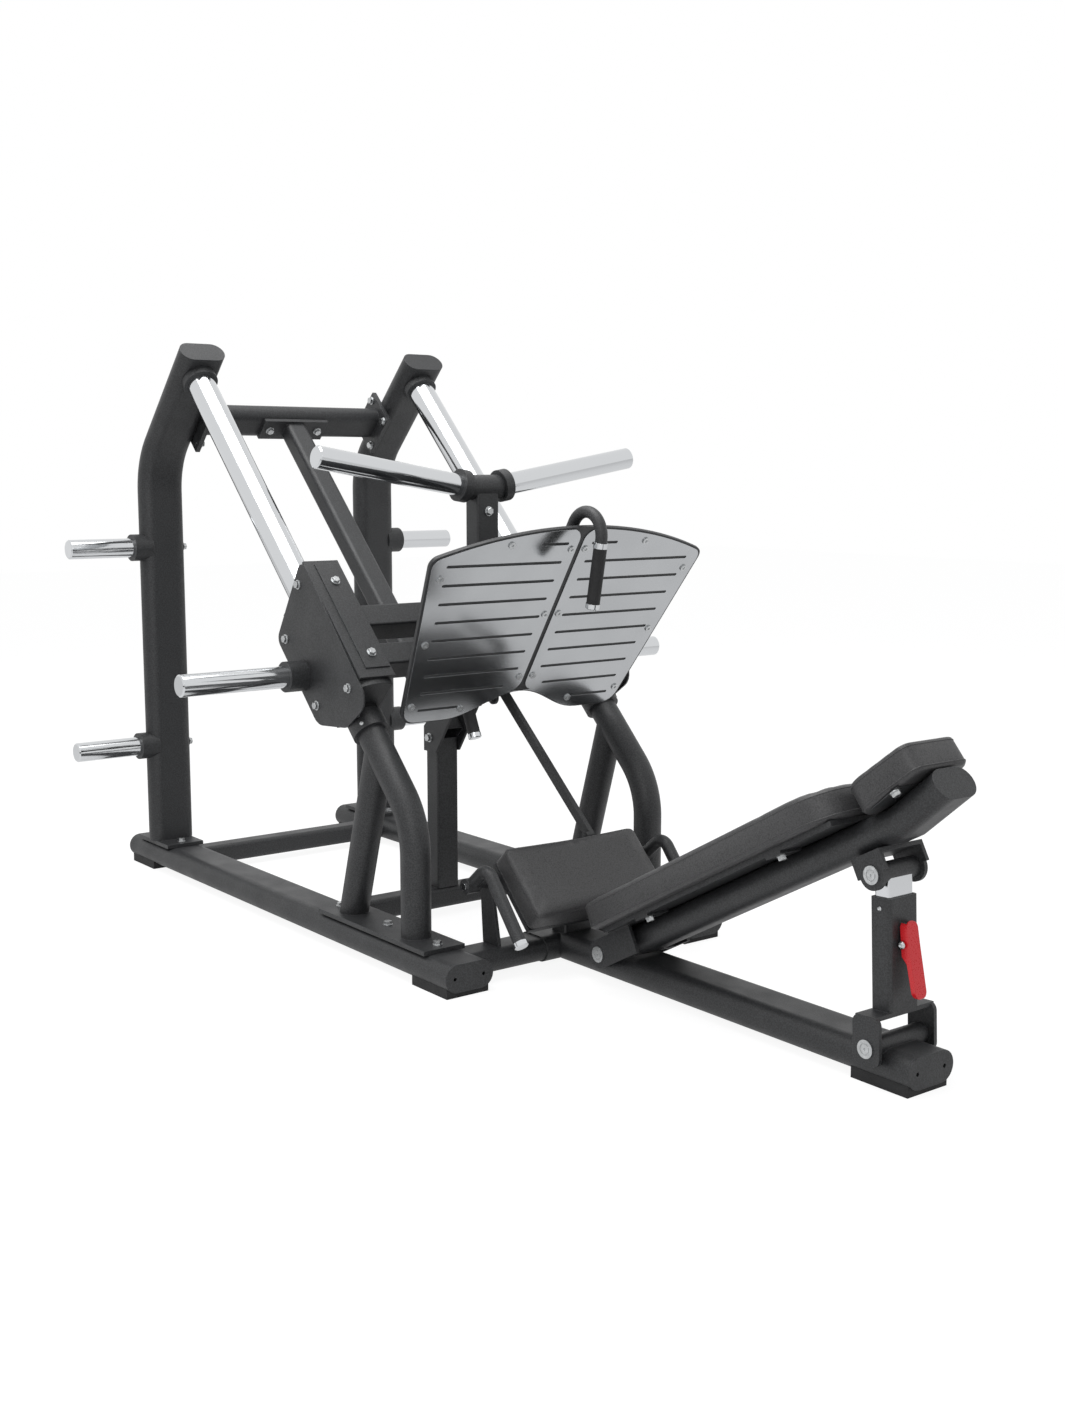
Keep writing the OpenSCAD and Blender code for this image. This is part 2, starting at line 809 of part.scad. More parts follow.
module diagonal_beam() {
    color(black) difference() {
        on_rods() {
            translate([diag_from, 0, diag_n])
                run_x(diag_end - diag_from) soft_ring(diag_w, diag_h, cross_r);
            translate([cross_h / 2 + seat_gap, -diag_flange_w / 2,
                diag_n - (top_beam_w - cross_h) / 2 - 12])
                cube([plate_t - seat_gap, diag_flange_w, top_beam_w - cross_h + 24]);
        }
        for (side = [-1, 1]) on_rods() translate([cross_h / 2 - 1, side * diag_bolt_y, diag_n])
            rotate([0, 90, 0]) cylinder(d = bolt_d, h = plate_t + 2);
    }
}

module centre_post() {
    color(black) difference() {
        translate([mid_x, 0, cross_z + cross_h / 2])
            linear_extrude(diag_end_z - cross_z - cross_h / 2) soft_ring(post_d, post_w, 6);
        diagonal_solid();
        on_rods() translate([diag_from, -post_w, diag_n]) cube([diag_end, 2 * post_w, diag_end]);
        translate([mid_x, 0, stop_bolt_z]) across(bolt_d, -post_w, post_w);
    }
}

module guide_rod(side) {
    color(chrome) on_rods() translate([rod_from, side * rail_y, 0])
        rotate([0, 90, 0]) linear_extrude(rod_len) ring(rod_d, rod_wall);
}

module guide_rod_left() { guide_rod(-1); }

module guide_rod_right() { guide_rod(1); }

// Sockets at the top of the rods and clamp collars at their bottom
module rod_collars() {
    color(black) on_rods() for (side = [-1, 1]) translate([0, side * rail_y, 0]) rotate([0, 90, 0]) {
        difference() {
            translate([0, 0, rod_from]) cylinder(d = socket_d, h = socket_len);
            cylinder(d = rod_d, h = rod_from + socket_len + 1);
        }
        difference() {
            translate([0, 0, collar_from]) cylinder(d = collar_d, h = clamp_len);
            translate([0, 0, collar_from - 1]) cylinder(d = rod_d, h = clamp_len / 2 + 1);
            translate([0, 0, rod_end - 1]) cylinder(d = leg_d, h = clamp_len);
        }
    }
}

module bumpers() {
    color(rubber) on_rods() for (side = [-1, 1]) translate([rest_s, side * rail_y, 0]) rotate([0, 90, 0])
        linear_extrude(bumper_t) difference() {
            circle(d = collar_d - 8);
            circle(d = rod_d);
        }
}

module leg_front_path(side) {
    translate([0, side * rail_y, 0]) {
        on_rods() translate([rod_end, 0, 0]) rotate([0, 90, 0])
            linear_extrude(leg_vertex_s - leg_run - rod_end) children();
        translate([leg_x - bend_r, 0, leg_vertex_z - leg_run]) rotate([90, 0, 0])
            rotate_extrude(angle = leg_turn) translate([bend_r, 0]) children();
        translate([leg_x, 0, plate_top]) linear_extrude(leg_vertex_z - leg_run - plate_top) children();
    }
}

module leg_rear_path(side) {
    translate([leg_rear_x, side * rail_y, plate_top]) rotate([0, leg_rear_lean, 0])
        translate([0, 0, -leg_d / 2]) linear_extrude(leg_rear_h / cos(leg_rear_lean) + leg_d / 2)
            children();
}

module leg(side) {
    color(black) {
        leg_front_path(side) ring(leg_d, leg_wall);
        difference() {
            leg_rear_path(side) ring(leg_d, leg_wall);
            leg_front_path(side) circle(d = leg_d);
            translate([leg_rear_x - leg_d, side * rail_y - leg_d, plate_top - 2 * leg_d])
                cube([2 * leg_d, 2 * leg_d, 2 * leg_d]);
        }
        translate([leg_plate_front - leg_plate_len, side * rail_y - plate_w / 2, rail_top])
            cube([leg_plate_len, plate_w, plate_t]);
    }
}

module leg_left() { leg(-1); }

module leg_right() { leg(1); }

// Bolts that hold the frame together, with the set screws of the clamp collars
module frame_bolts() {
    inner = rail_y - tube_w / 2 - 2 - lug_t;
    color(steel) for (side = [-1, 1]) {
        for (x = leg_bolts) translate([x, side * rail_y, plate_top]) bolt_head();
        for (i = [-1, 1]) translate([upright_x + i * (upright_plate_len / 2 - 26), side * rail_y,
            plate_top]) bolt_head();
        on_lean() for (i = [-1, 1], j = [-1, 1]) translate([i * lug_bolt_x, side * inner,
            top_beam_at + j * lug_bolt_z])
            rotate([side * 90, 0, 0]) {
                bolt_head();
                translate([0, 0, -2 * lug_t]) cylinder(d = bolt_d, h = 2 * lug_t);
            }
        on_rods() translate([cross_h / 2 + plate_t, side * diag_bolt_y, diag_n]) rotate([0, 90, 0]) {
            bolt_head();
            translate([0, 0, -plate_t]) cylinder(d = bolt_d, h = plate_t);
        }
        translate([mid_x, side * (post_w / 2 + stop_plate_t), stop_bolt_z]) rotate([-side * 90, 0, 0])
            bolt_head();
        for (z = [storage_z_low, storage_z_high]) translate([upright_x, side * (rail_y - tube_w / 2), z])
            rotate([side * 90, 0, 0]) bolt_head();
        on_rods() for (d = [-1, 1]) translate([rod_end + d * clamp_len / 4, side * rail_y, 0])
            rotate([-side * set_screw_turn, 0, 0]) translate([0, 0, collar_d / 2])
                cylinder(d = set_screw_d, h = 2);
    }
}

// The free part of a plate horn, with a chamfered end
module horn_bar(length) {
    cylinder(d = horn_d, h = length - horn_chamfer);
    translate([0, 0, length - horn_chamfer]) cylinder(d1 = horn_d, d2 = horn_d - 2 * horn_chamfer,
        h = horn_chamfer);
}

// A plate horn whose thinner root is held in a collar
module horn(held, length) {
    cylinder(d = horn_root_d, h = held);
    translate([0, 0, held]) horn_bar(length);
}

module storage_horns() {
    start = rail_y + tube_w / 2;
    color(chrome) for (side = [-1, 1], z = [storage_z_low, storage_z_high])
        translate([upright_x, side * start, z]) rotate([-side * 90, 0, 0])
            horn(storage_collar_len, storage_len);
}

module storage_collars() {
    start = rail_y + tube_w / 2;
    color(black) difference() {
        for (side = [-1, 1], z = [storage_z_low, storage_z_high])
            translate([upright_x, side * (start - collar_sink), z])
            rotate([-side * 90, 0, 0]) cylinder(d = horn_collar_d, h = collar_sink + storage_collar_len);
        for (side = [-1, 1], z = [storage_z_low, storage_z_high]) translate([upright_x, side * start, z])
            rotate([-side * 90, 0, 0]) cylinder(d = horn_root_d, h = storage_collar_len + 1);
        uprights_solid();
    }
}

// Plates on both sides of the centre post that carry the stop shaft
module stop_bracket() {
    color(black) for (side = [-1, 1]) difference() {
        translate([0, side * (post_w + stop_plate_t) / 2, 0]) rotate([90, 0, 0])
            linear_extrude(stop_plate_t, center = true) {
                polygon([
                    [mid_x - post_d / 2, stop_bolt_z - 34],
                    [mid_x + post_d / 2, stop_bolt_z - 34],
                    [stop_x + shaft_d, stop_z - shaft_d / 2],
                    [stop_x - shaft_d / 2, stop_z + shaft_d],
                    [mid_x - post_d / 2, stop_bolt_z + 26]
                ]);
                translate([stop_x, stop_z]) circle(d = 2 * shaft_d + 4);
            }
        translate([stop_x, 0, stop_z]) across(shaft_d + 2 * pin_gap, -post_w, post_w);
        translate([mid_x, 0, stop_bolt_z]) across(bolt_d, -post_w, post_w);
    }
}

// Post and board bracket of the seat, with the arms that carry the release shaft
module seat_frame() {
    color(black) {
        difference() {
            translate([seat_post_x, 0, cross_z + cross_h / 2 - 1])
                linear_extrude(seat_z) soft_ring(seat_post_d, seat_post_w, 8);
            on_seat() translate([-seat_len * 2, -seat_w, -seat_t - board_t - plate_t])
                cube([seat_len * 5, 2 * seat_w, seat_len * 3]);
            translate([front_cross_x, 0, cross_z]) run_y(track_w)
                oval(front_cross_w + 2 * joint_wall, cross_h + 2 * joint_wall);
            translate([front_cross_x, 0, rail_z]) run_x(seat_len) oval(tube_w, tube_h);
        }
        on_seat() translate([seat_plate_from, -seat_w / 2 + seat_plate_in, -seat_t - board_t - plate_t])
            cube([seat_len - seat_plate_from - 20, seat_w - 2 * seat_plate_in, plate_t]);
        for (side = [-1, 1]) difference() {
            translate([0, side * lever_plate_y, 0]) rotate([90, 0, 0])
                linear_extrude(arm_plate_t, center = true) {
                polygon([
                    [front_cross_x - 30, cross_z + cross_h / 2],
                    [front_cross_x + 26, cross_z + cross_h / 2],
                    [lever_x + shaft_d, lever_z + shaft_d / 3],
                    [lever_x - shaft_d * 0.9, lever_z - shaft_d / 2]
                ]);
                translate([lever_x, lever_z]) circle(d = 2 * shaft_d + 4);
            }
            translate([lever_x, 0, lever_z]) across(shaft_d + 2 * pin_gap, -track_w, track_w);
        }
    }
    color("#8a6f4d") on_seat() translate([0, 0, -seat_t - board_t]) difference() {
        translate([board_in, -seat_w / 2 + board_in, 0])
            cube([seat_len - 2 * board_in, seat_w - 2 * board_in, board_t]);
        translate([0, crank_y - notch_gap, -1]) cube([seat_plate_from,
            link_y + link_t / 2 - crank_y + 2 * notch_gap, board_t + 2]);
    }
}

module seat_pad() {
    color(leather) on_seat() translate([seat_len / 2, 0, -seat_t]) linear_extrude(seat_t)
        soft_square(seat_len, seat_w, 14);
}

// A pivot pin across the machine with a turned cap at each end
module capped_pin(half) {
    across(pin_d, -half, half);
    for (side = [-1, 1]) translate([0, side * half, 0]) rotate([-side * 90, 0, 0]) difference() {
        cylinder(d = pin_cap_d, h = pin_cap_t);
        translate([0, 0, pin_cap_t - 1]) difference() {
            cylinder(d = pin_cap_d * 0.62, h = 2);
            translate([0, 0, -1]) cylinder(d = pin_cap_d * 0.54, h = 4);
        }
        translate([0, 0, pin_cap_t - 2]) cylinder(d = 4, h = pin_cap_t);
    }
}

module hinge_pins() {
    color(steel) {
        translate([back_x, 0, back_pivot_z]) capped_pin(pivot_half + cap_gap);
        translate([strut_x, 0, strut_z]) capped_pin(base_half + cap_gap);
    }
}

// Outline of a carriage side plate, s along X and n along Y
module side_plate_outline() {
    polygon(rounded(side_plate_pts, side_plate_rs));
}

module side_plate(side) {
    y = side > 0 ? rail_y + box_half : -rail_y - plate_out;
    color(black) difference() {
        on_rods() translate([0, y, 0]) rotate([90, 0, 0]) mirror([0, 0, 1])
            linear_extrude(side_plate_t) side_plate_outline();
        for (b = plate_bolts) on_rods() translate([b[0], 0, b[1]]) across(bolt_d, -track_w, track_w);
    }
}

module side_plate_left() { side_plate(-1); }

module side_plate_right() { side_plate(1); }

module inner_plates() {
    color(black) difference() {
        for (side = [-1, 1]) on_rods()
            translate([carriage_at, side > 0 ? rail_y - plate_out : -rail_y + box_in, -rear_n - 4])
                cube([box_len - 60, inner_plate_t, rear_n + 4 + cover_n]);
        for (b = plate_bolts) on_rods() translate([b[0], 0, b[1]]) across(bolt_d, -track_w, track_w);
    }
}

// Front covers of the bearing boxes, each with a raised pad
module front_covers() {
    color(black) for (side = [-1, 1]) on_rods() translate([0, side * rail_y, 0]) difference() {
        union() {
            translate([carriage_at, side > 0 ? -plate_out : -box_half, cover_n])
                cube([box_len, plate_out + box_half, cover_t]);
            translate([carriage_at + 12, -side * cover_pad_in - cover_pad_w / 2, cover_n + cover_t])
                cube([box_len - 36, cover_pad_w, 3]);
        }
        for (s = cover_bolts) translate([s, -side * cover_pad_in, cover_n - 1])
            cylinder(d = bolt_d, h = 20);
    }
}

module bearing_housings() {
    color(black) on_rods() for (side = [-1, 1], s = [housing_high_from, housing_low_from])
        translate([s, side * rail_y, 0]) difference() {
            intersection() {
                rotate([0, 90, 0]) cylinder(r = cover_n, h = housing_len);
                translate([-1, side > 0 ? -box_in : -box_half, -housing_d / 2])
                    cube([housing_len + 2, box_in + box_half, housing_d / 2 + cover_n]);
            }
            translate([-1, 0, 0]) rotate([0, 90, 0]) cylinder(d = housing_bore, h = housing_len + 2);
        }
}

module rod_bearings() {
    color(steel) on_rods() for (side = [-1, 1], s = [housing_high_from, housing_low_from])
        translate([s, side * rail_y, 0]) rotate([0, 90, 0]) linear_extrude(housing_len) difference() {
            circle(d = housing_bore);
            circle(d = rod_d + 2 * bearing_gap);
        }
}

// A point of the foot plate's back, v up from its middle, as X and Z
function plate_back_point(v) = [
    foot_x + v * sin(foot_plate_lean) - back_w * cos(foot_plate_lean),
    foot_z + v * cos(foot_plate_lean) + back_w * sin(foot_plate_lean)
];

// Rib between the carriage beams and the back of the foot plate
module carriage_rib() {
    rotate([90, 0, 0]) linear_extrude(arm_t, center = true) difference() {
        polygon([
            [beam_high_x + arm_t, beam_high_z + arm_t],
            [beam_low_x - arm_t, beam_low_z - arm_t],
            plate_back_point(-rib_down),
            plate_back_point(rib_up)
        ]);
        for (p = [[beam_high_x, beam_high_z], [beam_low_x, beam_low_z]])
            translate(p) rotate(-rod_angle) square(beam_side, center = true);
    }
}

module carriage_frame() {
    color(black) {
        for (s = [beam_high_at, beam_low_at]) on_rods() translate([s, 0, beam_n])
            run_y(2 * beam_half_y) soft_ring(beam_side, beam_side, 5);
        for (side = [-1, 1]) translate([0, side * arm_y, 0]) carriage_rib();
        difference() {
            translate([hub_x + horn_post_d / 2, 0, bracket_z])
                run_x(foot_x - hub_x + bracket_d) soft_ring(bracket_d, bracket_d, 5);
            on_foot_plate() translate([-track_w, -track_w, -back_w]) cube(2 * track_w);
        }
    }
}

// Points of half of the foot plate outline, from the distance y1 to the middle
function foot_points(y1) =
    let (
        low = [plate_half_low, -plate_down],
        side = unit([plate_half_top - plate_half_low, plate_corner_up + plate_down]),
        inward = [-side[1], side[0]],
        arc_c = [0, plate_up - arc_r],
        q = low + plate_corner_r * inward - arc_c,
        t = -q * side + sqrt(pow(q * side, 2) - (q * q - pow(arc_r - plate_corner_r, 2))),
        c = low + plate_corner_r * inward + t * side,
        a1 = atan2(-inward[1], -inward[0]),
        a2 = atan2(c[1] - arc_c[1], c[0] - arc_c[0]),
        a3 = acos(y1 / arc_r)
    )
    [
        for (k = [0 : 12])
            let (y = y1 + (notch_half - y1) * k / 12)
            [y, -plate_notch - (plate_down - plate_notch) * (1 - cos(180 * y / notch_half)) / 2],
        for (p = rounded([[notch_half, -plate_down], low, low + 2 * plate_low_r * side],
            [0.01, plate_low_r, 0.01]))
            if (p[0] > notch_half + 1 && p[1] < -plate_down + plate_low_r) p,
        for (k = [0 : 8]) c + plate_corner_r * [cos(a1 + (a2 - a1) * k / 8), sin(a1 + (a2 - a1) * k / 8)],
        for (k = [1 : 16]) arc_c + arc_r * [cos(a2 + (a3 - a2) * k / 16), sin(a2 + (a3 - a2) * k / 16)]
    ];

// Two corner pieces that round the inner corners of one skin
module corner_cut(up) {
    difference() {
        translate([0, min(0, up * inner_corner_r)]) square(inner_corner_r);
        translate([inner_corner_r, 0]) circle(r = inner_corner_r);
    }
}

function slot_out(v) = min(
    plate_half_low + (plate_half_top - plate_half_low)
        * (v + plate_down) / (plate_corner_up + plate_down) - slot_margin,
    sqrt(2 * arc_r * (plate_up - v - slot_arc_margin))
);

function slot_in(v) = v - slot_arc_margin > -plate_notch ? slot_from
    : notch_half * acos(1 - 2 * (slot_arc_margin - v - plate_notch) / (plate_down - plate_notch)) / 180;

module foot_plate(side) {
    color(chrome) on_foot_plate() translate([0, 0, -skin_t]) linear_extrude(skin_t)
        mirror([side < 0 ? 1 : 0, 0]) difference() {
        scale([skin_scale, skin_scale]) difference() {
            polygon(foot_points(skin_split / 2));
            translate([skin_split / 2, plate_up - inner_corner_r]) corner_cut(1);
            translate([skin_split / 2, -plate_notch + inner_corner_r]) corner_cut(-1);
        }
        for (k = slot_rows) {
            v = k * slot_pitch;
            translate([slot_in(v), v - slot_w / 2]) square([slot_out(v) - slot_in(v), slot_w]);
            for (y = [slot_in(v), slot_out(v)]) translate([y, v]) circle(d = slot_w);
        }
        for (p = plate_screws) translate(p) circle(d = plate_screw_d);
    }
}

module foot_plate_left() { foot_plate(-1); }

module foot_plate_right() { foot_plate(1); }

module foot_plate_backing() {
    half = foot_points(0);
    color(black) on_foot_plate() translate([0, 0, -back_w]) linear_extrude(backing_t)
        polygon([each half, for (k = [len(half) - 2 : -1 : 1]) [-half[k][0], half[k][1]]]);
}

module foot_plate_screws() {
    color(steel) on_foot_plate() for (side = [-1, 1], p = plate_screws)
        translate([side * p[0], p[1], -skin_t]) {
        cylinder(d = plate_screw_d, h = skin_t);
        translate([0, 0, skin_t]) difference() {
            cylinder(d = 2 * plate_screw_d - 2, h = 3);
            translate([0, 0, 1]) cylinder(d = plate_screw_d - 2, h = 4, $fn = 6);
        }
    }
}

module side_horns() {
    color(chrome) on_rods() for (side = [-1, 1]) translate([horn_s, side * (rail_y + plate_out), horn_n])
        rotate([-side * 90, 0, 0]) horn(side_collar_len, side_horn_len);
}

// The frame of a top horn: its axis is Z
module on_top_horn(side) {
    translate([hub_x, side * hub_half, hub_z + horn_rise]) rotate([-side * (90 - top_horn_rise), 0, 0])
        children();
}

module top_horns() {
    color(chrome) for (side = [-1, 1]) on_top_horn(side) translate([0, 0, ring_w]) horn_bar(top_horn_len);
}

module horn_collars() {
    color(black) {
        on_rods() for (side = [-1, 1]) translate([horn_s, side * (rail_y + plate_out), horn_n])
            rotate([-side * 90, 0, 0]) difference() {
                cylinder(d = horn_collar_d, h = side_collar_len);
                translate([0, 0, -1]) cylinder(d = horn_root_d, h = side_collar_len + 2);
            }
        for (side = [-1, 1]) on_top_horn(side) cylinder(d = ring_d, h = ring_w);
    }
}

module horn_hub() {
    color(black) difference() {
        translate([hub_x, 0, hub_z]) across(hub_d, -hub_half - 2, hub_half + 2);
        for (side = [-1, 1]) on_top_horn(side) cylinder(d = ring_d + 2, h = ring_w);
    }
}

// Post under the hub, standing on the lower carriage beam
module horn_post() {
    color(black) difference() {
        translate([hub_x, 0, beam_low_z]) linear_extrude(hub_z - beam_low_z)
            soft_ring(horn_post_d, horn_post_w, 6);
        translate([hub_x, 0, hub_z]) across(hub_d, -horn_post_w, horn_post_w);
        on_rods() translate([beam_low_at, 0, beam_n]) run_y(track_w) square(beam_side, center = true);
        translate([hub_x, 0, post_bolt_z]) rotate([0, 90, 0]) cylinder(d = bolt_d, h = horn_post_d);
    }
}

module carriage_bolts() {
    color(steel) {
        for (side = [-1, 1]) on_rods() {
            for (b = plate_bolts) translate([b[0], side * (rail_y + plate_out), b[1]])
                rotate([-side * 90, 0, 0]) {
                bolt_head();
                translate([0, 0, -side_plate_t]) cylinder(d = bolt_d, h = side_plate_t);
            }
            for (b = plate_bolts) translate([b[0], side * (rail_y - plate_out), b[1]])
                rotate([side * 90, 0, 0]) {
                bolt_head();
                translate([0, 0, -inner_plate_t]) cylinder(d = bolt_d, h = inner_plate_t);
            }
            for (s = cover_bolts) translate([s, side * (rail_y - cover_pad_in), cover_n + cover_t + 3]) {
                bolt_head();
                translate([0, 0, -cover_t]) cylinder(d = bolt_d, h = cover_t);
            }
        }
        translate([hub_x + horn_post_d / 2, 0, post_bolt_z]) rotate([0, 90, 0]) {
            bolt_head();
            translate([0, 0, -tube_wall]) cylinder(d = bolt_d, h = tube_wall);
        }
    }
}

// The frame at the start of the straight part of the gooseneck grip: along it is Z
module on_neck_end() {
    on_foot_plate() translate([0, neck_v, neck_w + neck_r]) rotate([-grip_lean, 0, 0])
        translate([0, 0, neck_r]) rotate([90, 0, 0]) children();
}

// The frame of the low grip under the lower carriage beam: down it is Z
module on_low_grip() {
    translate([beam_low_x, low_grip_y, beam_low_z]) rotate([0, 180 - low_grip_lean, 0])
        translate([0, 0, beam_side / 2 + 8]) children();
}

module gooseneck_handle() {
    color(black) {
        difference() {
            on_foot_plate() {
                translate([0, neck_from, neck_w]) rotate([-90, 0, 0])
                    cylinder(d = neck_d, h = neck_v - neck_from);
                translate([0, neck_v, neck_w + neck_r]) rotate([0, -90, 0])
                    rotate([0, 0, grip_lean]) rotate_extrude(angle = 180 - grip_lean)
                        translate([neck_r, 0]) circle(d = neck_d);
            }
            translate([hub_x, 0, bracket_z]) run_x(track_w) square(bracket_d, center = true);
        }
        on_neck_end() cylinder(d = neck_d, h = 4);
        difference() {
            on_low_grip() translate([0, 0, -low_grip_from])
                cylinder(d = neck_d, h = low_grip_from + low_grip_neck);
            on_rods() translate([beam_low_at, 0, beam_n]) run_y(track_w) square(beam_side, center = true);
        }
    }
}

module hand_grips() {
    color(rubber) {
        on_neck_end() translate([0, 0, 4 + ring_len]) cylinder(d = grip_d, h = grip_len);
        on_low_grip() translate([0, 0, low_grip_neck])
            cylinder(d = grip_d, h = low_grip_len - low_grip_neck);
    }
}

module end_ring() {
    cylinder(d = grip_d + 2, h = ring_len - 2);
    translate([0, 0, ring_len - 2]) cylinder(d1 = grip_d + 2, d2 = grip_d - 3, h = 2);
}

module grip_caps() {
    color(chrome) {
        on_neck_end() translate([0, 0, 4]) cylinder(d = grip_d + 2, h = ring_len);
        on_neck_end() translate([0, 0, 4 + ring_len + grip_len]) end_ring();
        on_low_grip() translate([0, 0, low_grip_len]) end_ring();
    }
}

// The frame of a release handle at its shaft: along the arm is X, Z is up from it
module on_lever(side) {
    translate([lever_x, side * lever_y, lever_z]) rotate([0, -lever_up, 0]) children();
}

// The frame at the start of the straight part of a release handle: along it is Z
module on_lever_end(side) {
    on_lever(side) translate([lever_arm, 0, -lever_bend_r]) rotate([0, lever_up + lever_down, 0])
        translate([0, 0, lever_bend_r]) rotate([0, 90, 0]) children();
}

// A crank between two points of the link plane, X and Z, bent to the rear past the seat
module crank_outline(x, z) {
    low = crank_half * left_of(unit(crank_knee));
    high = crank_half * left_of(unit([x, z] - crank_knee));
    bend = 2 * crank_half * crank_half * (low + high) / ((low + high) * (low + high));
    circle(d = hub_out_d);
    translate([x, z]) circle(d = link_w);
    polygon([
        low,
        crank_knee + bend,
        [x, z] + high,
        [x, z] - high,
        crank_knee - bend,
        -low
    ]);
}

module crank(x, z) {
    translate([x, crank_y + crank_t, z]) rotate([90, 0, 0]) linear_extrude(crank_t) difference() {
        crank_outline(crank_x, crank_z);
        translate([crank_x, crank_z]) circle(d = link_pin_d + 2 * pin_gap);
    }
}

module release_levers() {
    color(black) {
        translate([lever_x, 0, lever_z]) across(shaft_d, -lever_half, lever_half);
        crank(lever_x, lever_z);
        for (side = [-1, 1]) {
            on_lever(side) {
                rotate([0, 90, 0]) cylinder(d = lever_d, h = lever_arm);
                translate([lever_arm, 0, -lever_bend_r]) rotate([90, 0, 0])
                    rotate([0, 0, 90 - lever_up - lever_down])
                    rotate_extrude(angle = lever_up + lever_down) translate([lever_bend_r, 0])
                        circle(d = lever_d);
            }
            on_lever_end(side) cylinder(d = lever_d, h = lever_len);
            translate([lever_x, side * lever_y, lever_z])
                across(hub_out_d, lever_y - lever_half, lever_half - lever_y);
        }
    }
}

module lever_caps() {
    color(chrome) {
        for (side = [-1, 1]) on_lever_end(side) translate([0, 0, lever_len]) end_ring();
        for (side = [-1, 1]) translate([lever_x, side * lever_half, lever_z]) rotate([-side * 90, 0, 0])
            cylinder(d = shaft_d - 4, h = 3);
    }
}

module link_bar() {
    color(black) translate([lever_x + crank_x, link_y + link_t / 2, lever_z + crank_z])
        rotate([0, link_rise - 180, 0])
        rotate([90, 0, 0]) {
            linear_extrude(link_t) {
                translate([0, -link_w / 2]) square([link_len, link_w]);
                for (x = [0, link_len]) translate([x, 0]) circle(d = link_w);
            }
            for (x = [0, link_len]) translate([x, 0, 0])
                cylinder(d = link_pin_d, h = link_t + link_gap + crank_t + 2);
        }
}

// Stop shaft with its crank and a pair of hooks beside the centre post
module stop_arm() {
    color(black) {
        translate([stop_x, 0, stop_z]) across(shaft_d, -stop_half, crank_y + crank_t);
        crank_open();
        for (side = [-1, 1]) translate([stop_x, side * stop_hook_y + hook_t / 2, stop_z])
            rotate([90, 0, 0]) linear_extrude(hook_t)
            polygon(rounded(hook_pts, hook_rs));
    }
}

module crank_open() {
    translate([stop_x, crank_y + crank_t, stop_z]) rotate([90, 0, 0]) linear_extrude(crank_t)
        difference() {
        crank_outline(crank_x, crank_z);
        translate([crank_x, crank_z]) circle(d = link_pin_d + 2 * open_gap);
    }
}

module back_frame() {
    color(black) {
        difference() {
            on_back() translate([back_from, 0, 0]) run_x(back_len - back_from + tube_h)
                oval_ring(back_tube_w, tube_h);
            on_back() translate([back_len, -back_tube_w, 0]) rotate([0, -back_bend / 2, 0])
                translate([0, 0, -back_tube_w]) cube(2 * back_tube_w);
        }
        difference() {
            on_head() translate([-tube_h, 0, 0]) run_x(back_head_len + tube_h)
                oval_ring(back_tube_w, tube_h);
            on_back() translate([back_len, -back_tube_w, 0]) rotate([0, -back_bend / 2, 0])
                translate([-2 * back_tube_w, 0, -back_tube_w]) cube(2 * back_tube_w);
        }
        on_head() translate([back_head_len, 0, 0]) rotate([90, 0, 90]) linear_extrude(cap_t)
            oval(back_tube_w, tube_h);
        on_back() {
            translate([back_from - clevis_t, -pivot_half, -tube_h / 2])
                cube([clevis_t, 2 * pivot_half, tube_h]);
            for (side = [-1, 1]) translate([0, side * (pivot_half - clevis_t / 2), 0]) rotate([90, 0, 0])
                linear_extrude(clevis_t, center = true) difference() {
                    union() {
                        circle(d = tube_h);
                        translate([0, -tube_h / 2]) square([back_from + 40, tube_h]);
                    }
                    circle(d = pin_d + 2 * pin_gap);
                }
            translate([pad_board_from, -board_half, tube_h / 2])
                cube([back_pad_len - 2 * (pad_board_from - back_pad_from), 2 * board_half, board_t]);
            for (a = bracket_at) translate([a - bracket_w / 2, -board_half, tube_h / 2 - bracket_t])
                difference() {
                cube([bracket_w, 2 * board_half, bracket_t]);
                translate([-1, board_half - back_tube_w / 2 + 1, -1])
                    cube([bracket_w + 2, back_tube_w - 2, bracket_t + 2]);
            }
            translate([strut_back_at - clevis_w / 2, -clevis_half, -tube_h / 2 - clevis_t])
                cube([clevis_w, 2 * clevis_half, clevis_t]);
            for (side = [-1, 1]) translate([strut_back_at, side * (clevis_half - clevis_t / 2), 0])
                rotate([90, 0, 0])
                linear_extrude(clevis_t, center = true) difference() {
                    union() {
                        translate([-clevis_w / 2, -strut_drop])
                            square([clevis_w, strut_drop - tube_h / 2]);
                        translate([0, -strut_drop]) circle(d = clevis_w * 0.8);
                    }
                    translate([0, -strut_drop]) circle(d = pin_d);
                }
        }
        on_head() translate([10, -head_half + 20, tube_h / 2])
            cube([head_bolt_at + 4, 2 * head_half - 40, head_plate_t]);
    }
}

module back_pad_outline() {
    polygon(rounded([
        [back_pad_from, -back_pad_w / 2],
        [back_pad_from + back_pad_len, -back_pad_w / 2],
        [back_pad_from + back_pad_len, back_pad_w / 2],
        [back_pad_from, back_pad_w / 2]
    ], [22, 75, 75, 22]));
}

module back_pad() {
    color(leather) on_back() translate([0, 0, pad_base]) linear_extrude(pad_t) back_pad_outline();
}

module head_pad() {
    color(leather) difference() {
        on_head() translate([0, 0, tube_h / 2 + head_plate_t + seat_gap])
            linear_extrude(pad_t) polygon(rounded([
            [head_from, -head_half],
            [head_from + head_len, -head_half_end],
            [head_from + head_len, head_half_end],
            [head_from, head_half]
        ], [45, 25, 25, 45]));
        on_back() run_x(back_len + tube_h) oval(back_tube_w + 1, tube_h + 1);
    }
}

